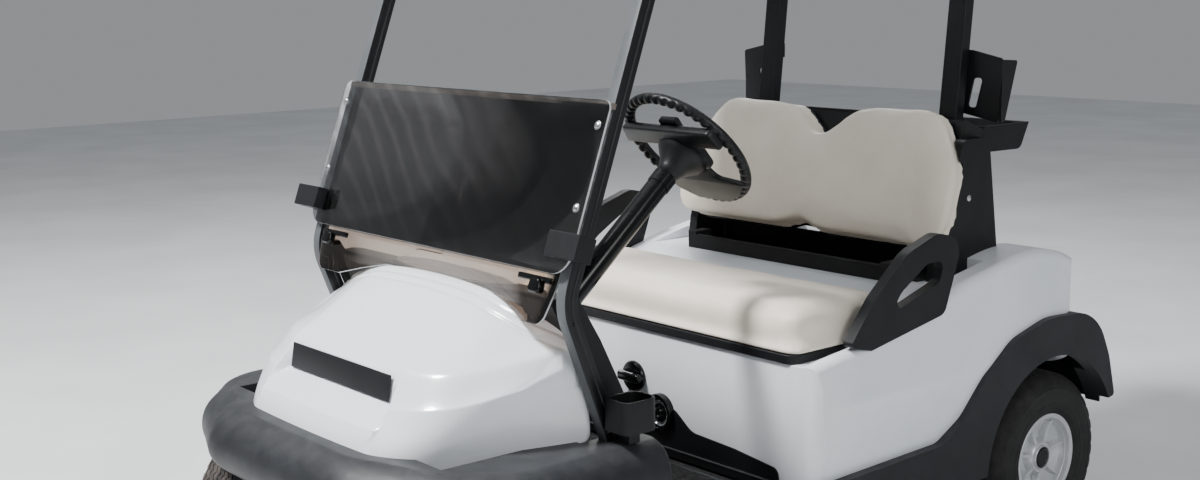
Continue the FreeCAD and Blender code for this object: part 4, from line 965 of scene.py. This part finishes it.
class DressWheels(bpy.types.Operator):
    """Builds the four turf tyres with their tread, and the seven-spoke wheels"""
    bl_idname = "cart.dress_wheels"
    bl_label = "Wheels"

    def execute(self, context):
        # place, x, y, side, tread finish
        wheels = [
            # the front treads carry painted sunlight, the rear treads painted shade
            ("front_left", 0.438, -0.860, 1, "tread"),
            ("front_right", -0.438, -0.860, -1, "tread"),
            ("rear_left", 0.489, 0.804, 1, "tread_rear_painted_shade"),
            ("rear_right", -0.489, 0.804, -1, "tread_rear_painted_shade"),
        ]
        for place, x, y, side, tread in wheels:
            centre = Vector((x, y, 0.2285))
            self.tyre(place, centre, tread)
            self.rim(place, centre, side)
        return {"FINISHED"}

    def tyre(self, place, centre, tread):
        """One ribbed tyre, its tread in a rubber of its own: paler on the front tyres with dust and painted
        sunlight, darker on the rear ones with painted shade.
        """
        half = [(a * MM, r * MM) for a, r in TYRE_HALF]
        profile = half + [(-a, r) for a, r in reversed(half[:-1])]
        steps = 144
        bm = turned(profile + profile[:1], centre, (1, 0, 0), steps, (0, 0, 1))
        for vert in bm.verts:
            at = vert.co - centre
            r = math.hypot(at.y, at.z)
            turn = round(math.atan2(at.y, at.z) / math.tau * steps)
            # zigzag sipes between the ribs, then notches along the shoulders
            if r > 0.2212 and abs(at.x) < 0.064:
                vert.co.x += 0.0036 if turn % 2 else -0.0036
            if 0.203 < r < 0.2235 and 0.076 < abs(at.x) < 0.094 and turn % 4 == 0:
                vert.co -= Vector((0, at.y, at.z)).normalized() * 0.0032
        for face in bm.faces:
            at = face.calc_center_median() - centre
            face.material_index = 1 if math.hypot(at.y, at.z) > 0.2 else 0
        finish_piece(bm, "tyre_%s_turf" % place, "wheel_" + place, "tyre", ("tyre_" + place,), angle=28,
                     extra=(tread,))

    def rim(self, place, centre, side):
        """One wheel with its blades and its cap; side is 1 on the cart's left, -1 on its right."""
        facing = Vector((side, 0, 0))
        bm = turned([(a * MM, r * MM) for a, r in RIM_PROFILE], centre, facing, 96, (0, 0, 1))
        # outwards from the wheel's middle, radius
        ridge = [(52, 44), (72.8, 42), (71.2, 55), (70.4, 70), (72, 84), (77.5, 102.6), (62, 97.5), (54, 80)]
        for spoke in range(SPOKES):
            points = [Vector((side * a, -8, r)) * MM for a, r in ridge]
            blade = plate(points, Vector((0, 16, 0)) * MM)
            for vert in blade.verts:
                # each blade narrows towards its outer end
                if side * vert.co.x > 0.066:
                    vert.co.y *= 0.6 - 0.45 * max(0.0, (vert.co.z - 0.06) / 0.043)
            round_edges(blade, 0.0016, 2)
            turn = Matrix.Rotation(math.tau * (spoke + 0.5) / SPOKES, 3, "X")
            bmesh.ops.rotate(blade, verts=blade.verts, cent=(0, 0, 0), matrix=turn)
            bmesh.ops.translate(blade, verts=blade.verts, vec=centre)
            joined(bm, blade)
        finish_piece(bm, "rim_%s_spoked" % place, "wheel_" + place, "wheel", ("rim_" + place,), angle=32)
        cap = turned([(a * MM, r * MM) for a, r in CAP_PROFILE], centre, facing, 64, (0, 0, 1))
        finish_piece(cap, "hub_cap_" + place, "wheel_" + place, "gloss_black", angle=32)


class DressControls(bpy.types.Operator):
    """Makes the direction knob, the charging socket, the bright strips that paint highlights along the
    floor's edges, and the body's bolts
    """
    bl_idname = "cart.dress_controls"
    bl_label = "Controls"

    def execute(self, context):
        front = Vector((0, -1, 0))
        middle = Vector((-0.03, -0.1002, 0.498))
        knob = [(0, 0), (0, 0.0385), (0.003, 0.040), (0.009, 0.0395), (0.0125, 0.0365), (0.0135, 0.030),
                (0.0135, 0)]
        bm = turned(knob, middle, front, 64, (0, 0, 1))
        joined(bm, block((-0.070, -0.1315, 0.487), (0.010, -0.110, 0.511), 0.008, 4))
        finish_piece(bm, "direction_knob", "chassis", "gloss_black", ("direction_selector",))
        bm = block((-0.062, -0.1322, 0.5085), (-0.012, -0.118, 0.5135), 0.002, 2)
        finish_piece(bm, "direction_knob_inlay", "chassis", "chrome")
        centre = Vector((0.07, -0.1002, 0.425))
        collar = [(0, 0), (0, 0.047), (0.012, 0.0465), (0.017, 0.044), (0.018, 0.041), (0.017, 0.0385),
                  (0.0055, 0.0375), (0.0052, 0)]
        bm = turned(collar, centre, front, 72, (0, 0, 1))
        finish_piece(bm, "charge_socket_collar", "chassis", "gloss_black", ("charge_receptacle",))
        ring = [(0.0052, 0.024), (0.0052, 0.034), (0.0105, 0.034), (0.0115, 0.0325), (0.0105, 0.0305),
                (0.0062, 0.030), (0.0062, 0.024), (0.0052, 0.024)]
        bm = turned(ring, centre - Vector((0, 0, 0.002)), front, 64, (0, 0, 1))
        for x, z in ((-0.010, 0.006), (0.010, 0.006), (0.0, -0.011)):
            pin = [(0.005, 0), (0.005, 0.0035), (0.0135, 0.0033), (0.0145, 0.002), (0.0145, 0)]
            joined(bm, turned(pin, centre + Vector((x, 0, z)), front, 20))
        finish_piece(bm, "charge_socket_contacts", "chassis", "chrome")
        self.painted_edge_highlights()
        bolts = [((side * 0.4552, 0.610, 0.930), (side, 0, 0), 0.006) for side in (-1, 1)]
        bolts += [((side * x, 0.7237, z), (0, -1, 0), 0.005) for side in (-1, 1)
                  for x, z in ((0.335, 1.272), (0.325, 1.29))]
        fasteners("support_bolts", "chassis", "screw", bolts)
        return {"FINISHED"}

    def painted_edge_highlights(self):
        """Bright metal strips painted as highlights on the heel guard's step edges and along the edges of the
        mat.
        """
        # painted highlights: where the heel guard's steps and the mat's edges catch the light
        bm = block((-0.468, -0.1066, 0.336), (0.472, -0.1038, 0.340), 0.0008, 2)
        joined(bm, block((-0.545, -0.128, 0.3078), (0.548, -0.116, 0.3104), 0.0008, 2))
        for side in (-1, 1):
            low, high = sorted((side * 0.551, side * 0.5592))
            joined(bm, block((low, -0.540, 0.3078), (high, -0.104, 0.3108), 0.0008, 2))
        finish_piece(bm, "floor_edge_strips_painted_highlight", "chassis", "alloy")


class GOLF_PT_panel(bpy.types.Panel):
    """Lists the dressing operators"""
    bl_idname = "CART_PT_dressing"
    bl_label = "Golf Cart"
    bl_space_type = "VIEW_3D"
    bl_region_type = "UI"
    bl_category = "Golf Cart"

    def draw(self, context):
        for cls in OPERATORS:
            self.layout.operator(cls.bl_idname)


OPERATORS = [DressStage, DressCowl, DressBody, DressWindshield, DressStruts, DressSteering, DressSeats,
             DressWheels, DressControls]
CLASSES = [CartColours, CartSizes] + OPERATORS + [GOLF_PT_panel]


def register():
    for cls in CLASSES:
        bpy.utils.register_class(cls)
    bpy.types.Scene.cart_colours = bpy.props.PointerProperty(type=CartColours)
    bpy.types.Scene.cart_sizes = bpy.props.PointerProperty(type=CartSizes)


def unregister():
    del bpy.types.Scene.cart_sizes
    del bpy.types.Scene.cart_colours
    for cls in reversed(CLASSES):
        bpy.utils.unregister_class(cls)


def main():
    register()
    for cls in OPERATORS:
        group, name = cls.bl_idname.split(".")
        getattr(getattr(bpy.ops, group), name)()
    bpy.context.view_layer.update()


if __name__ == "__main__":
    main()
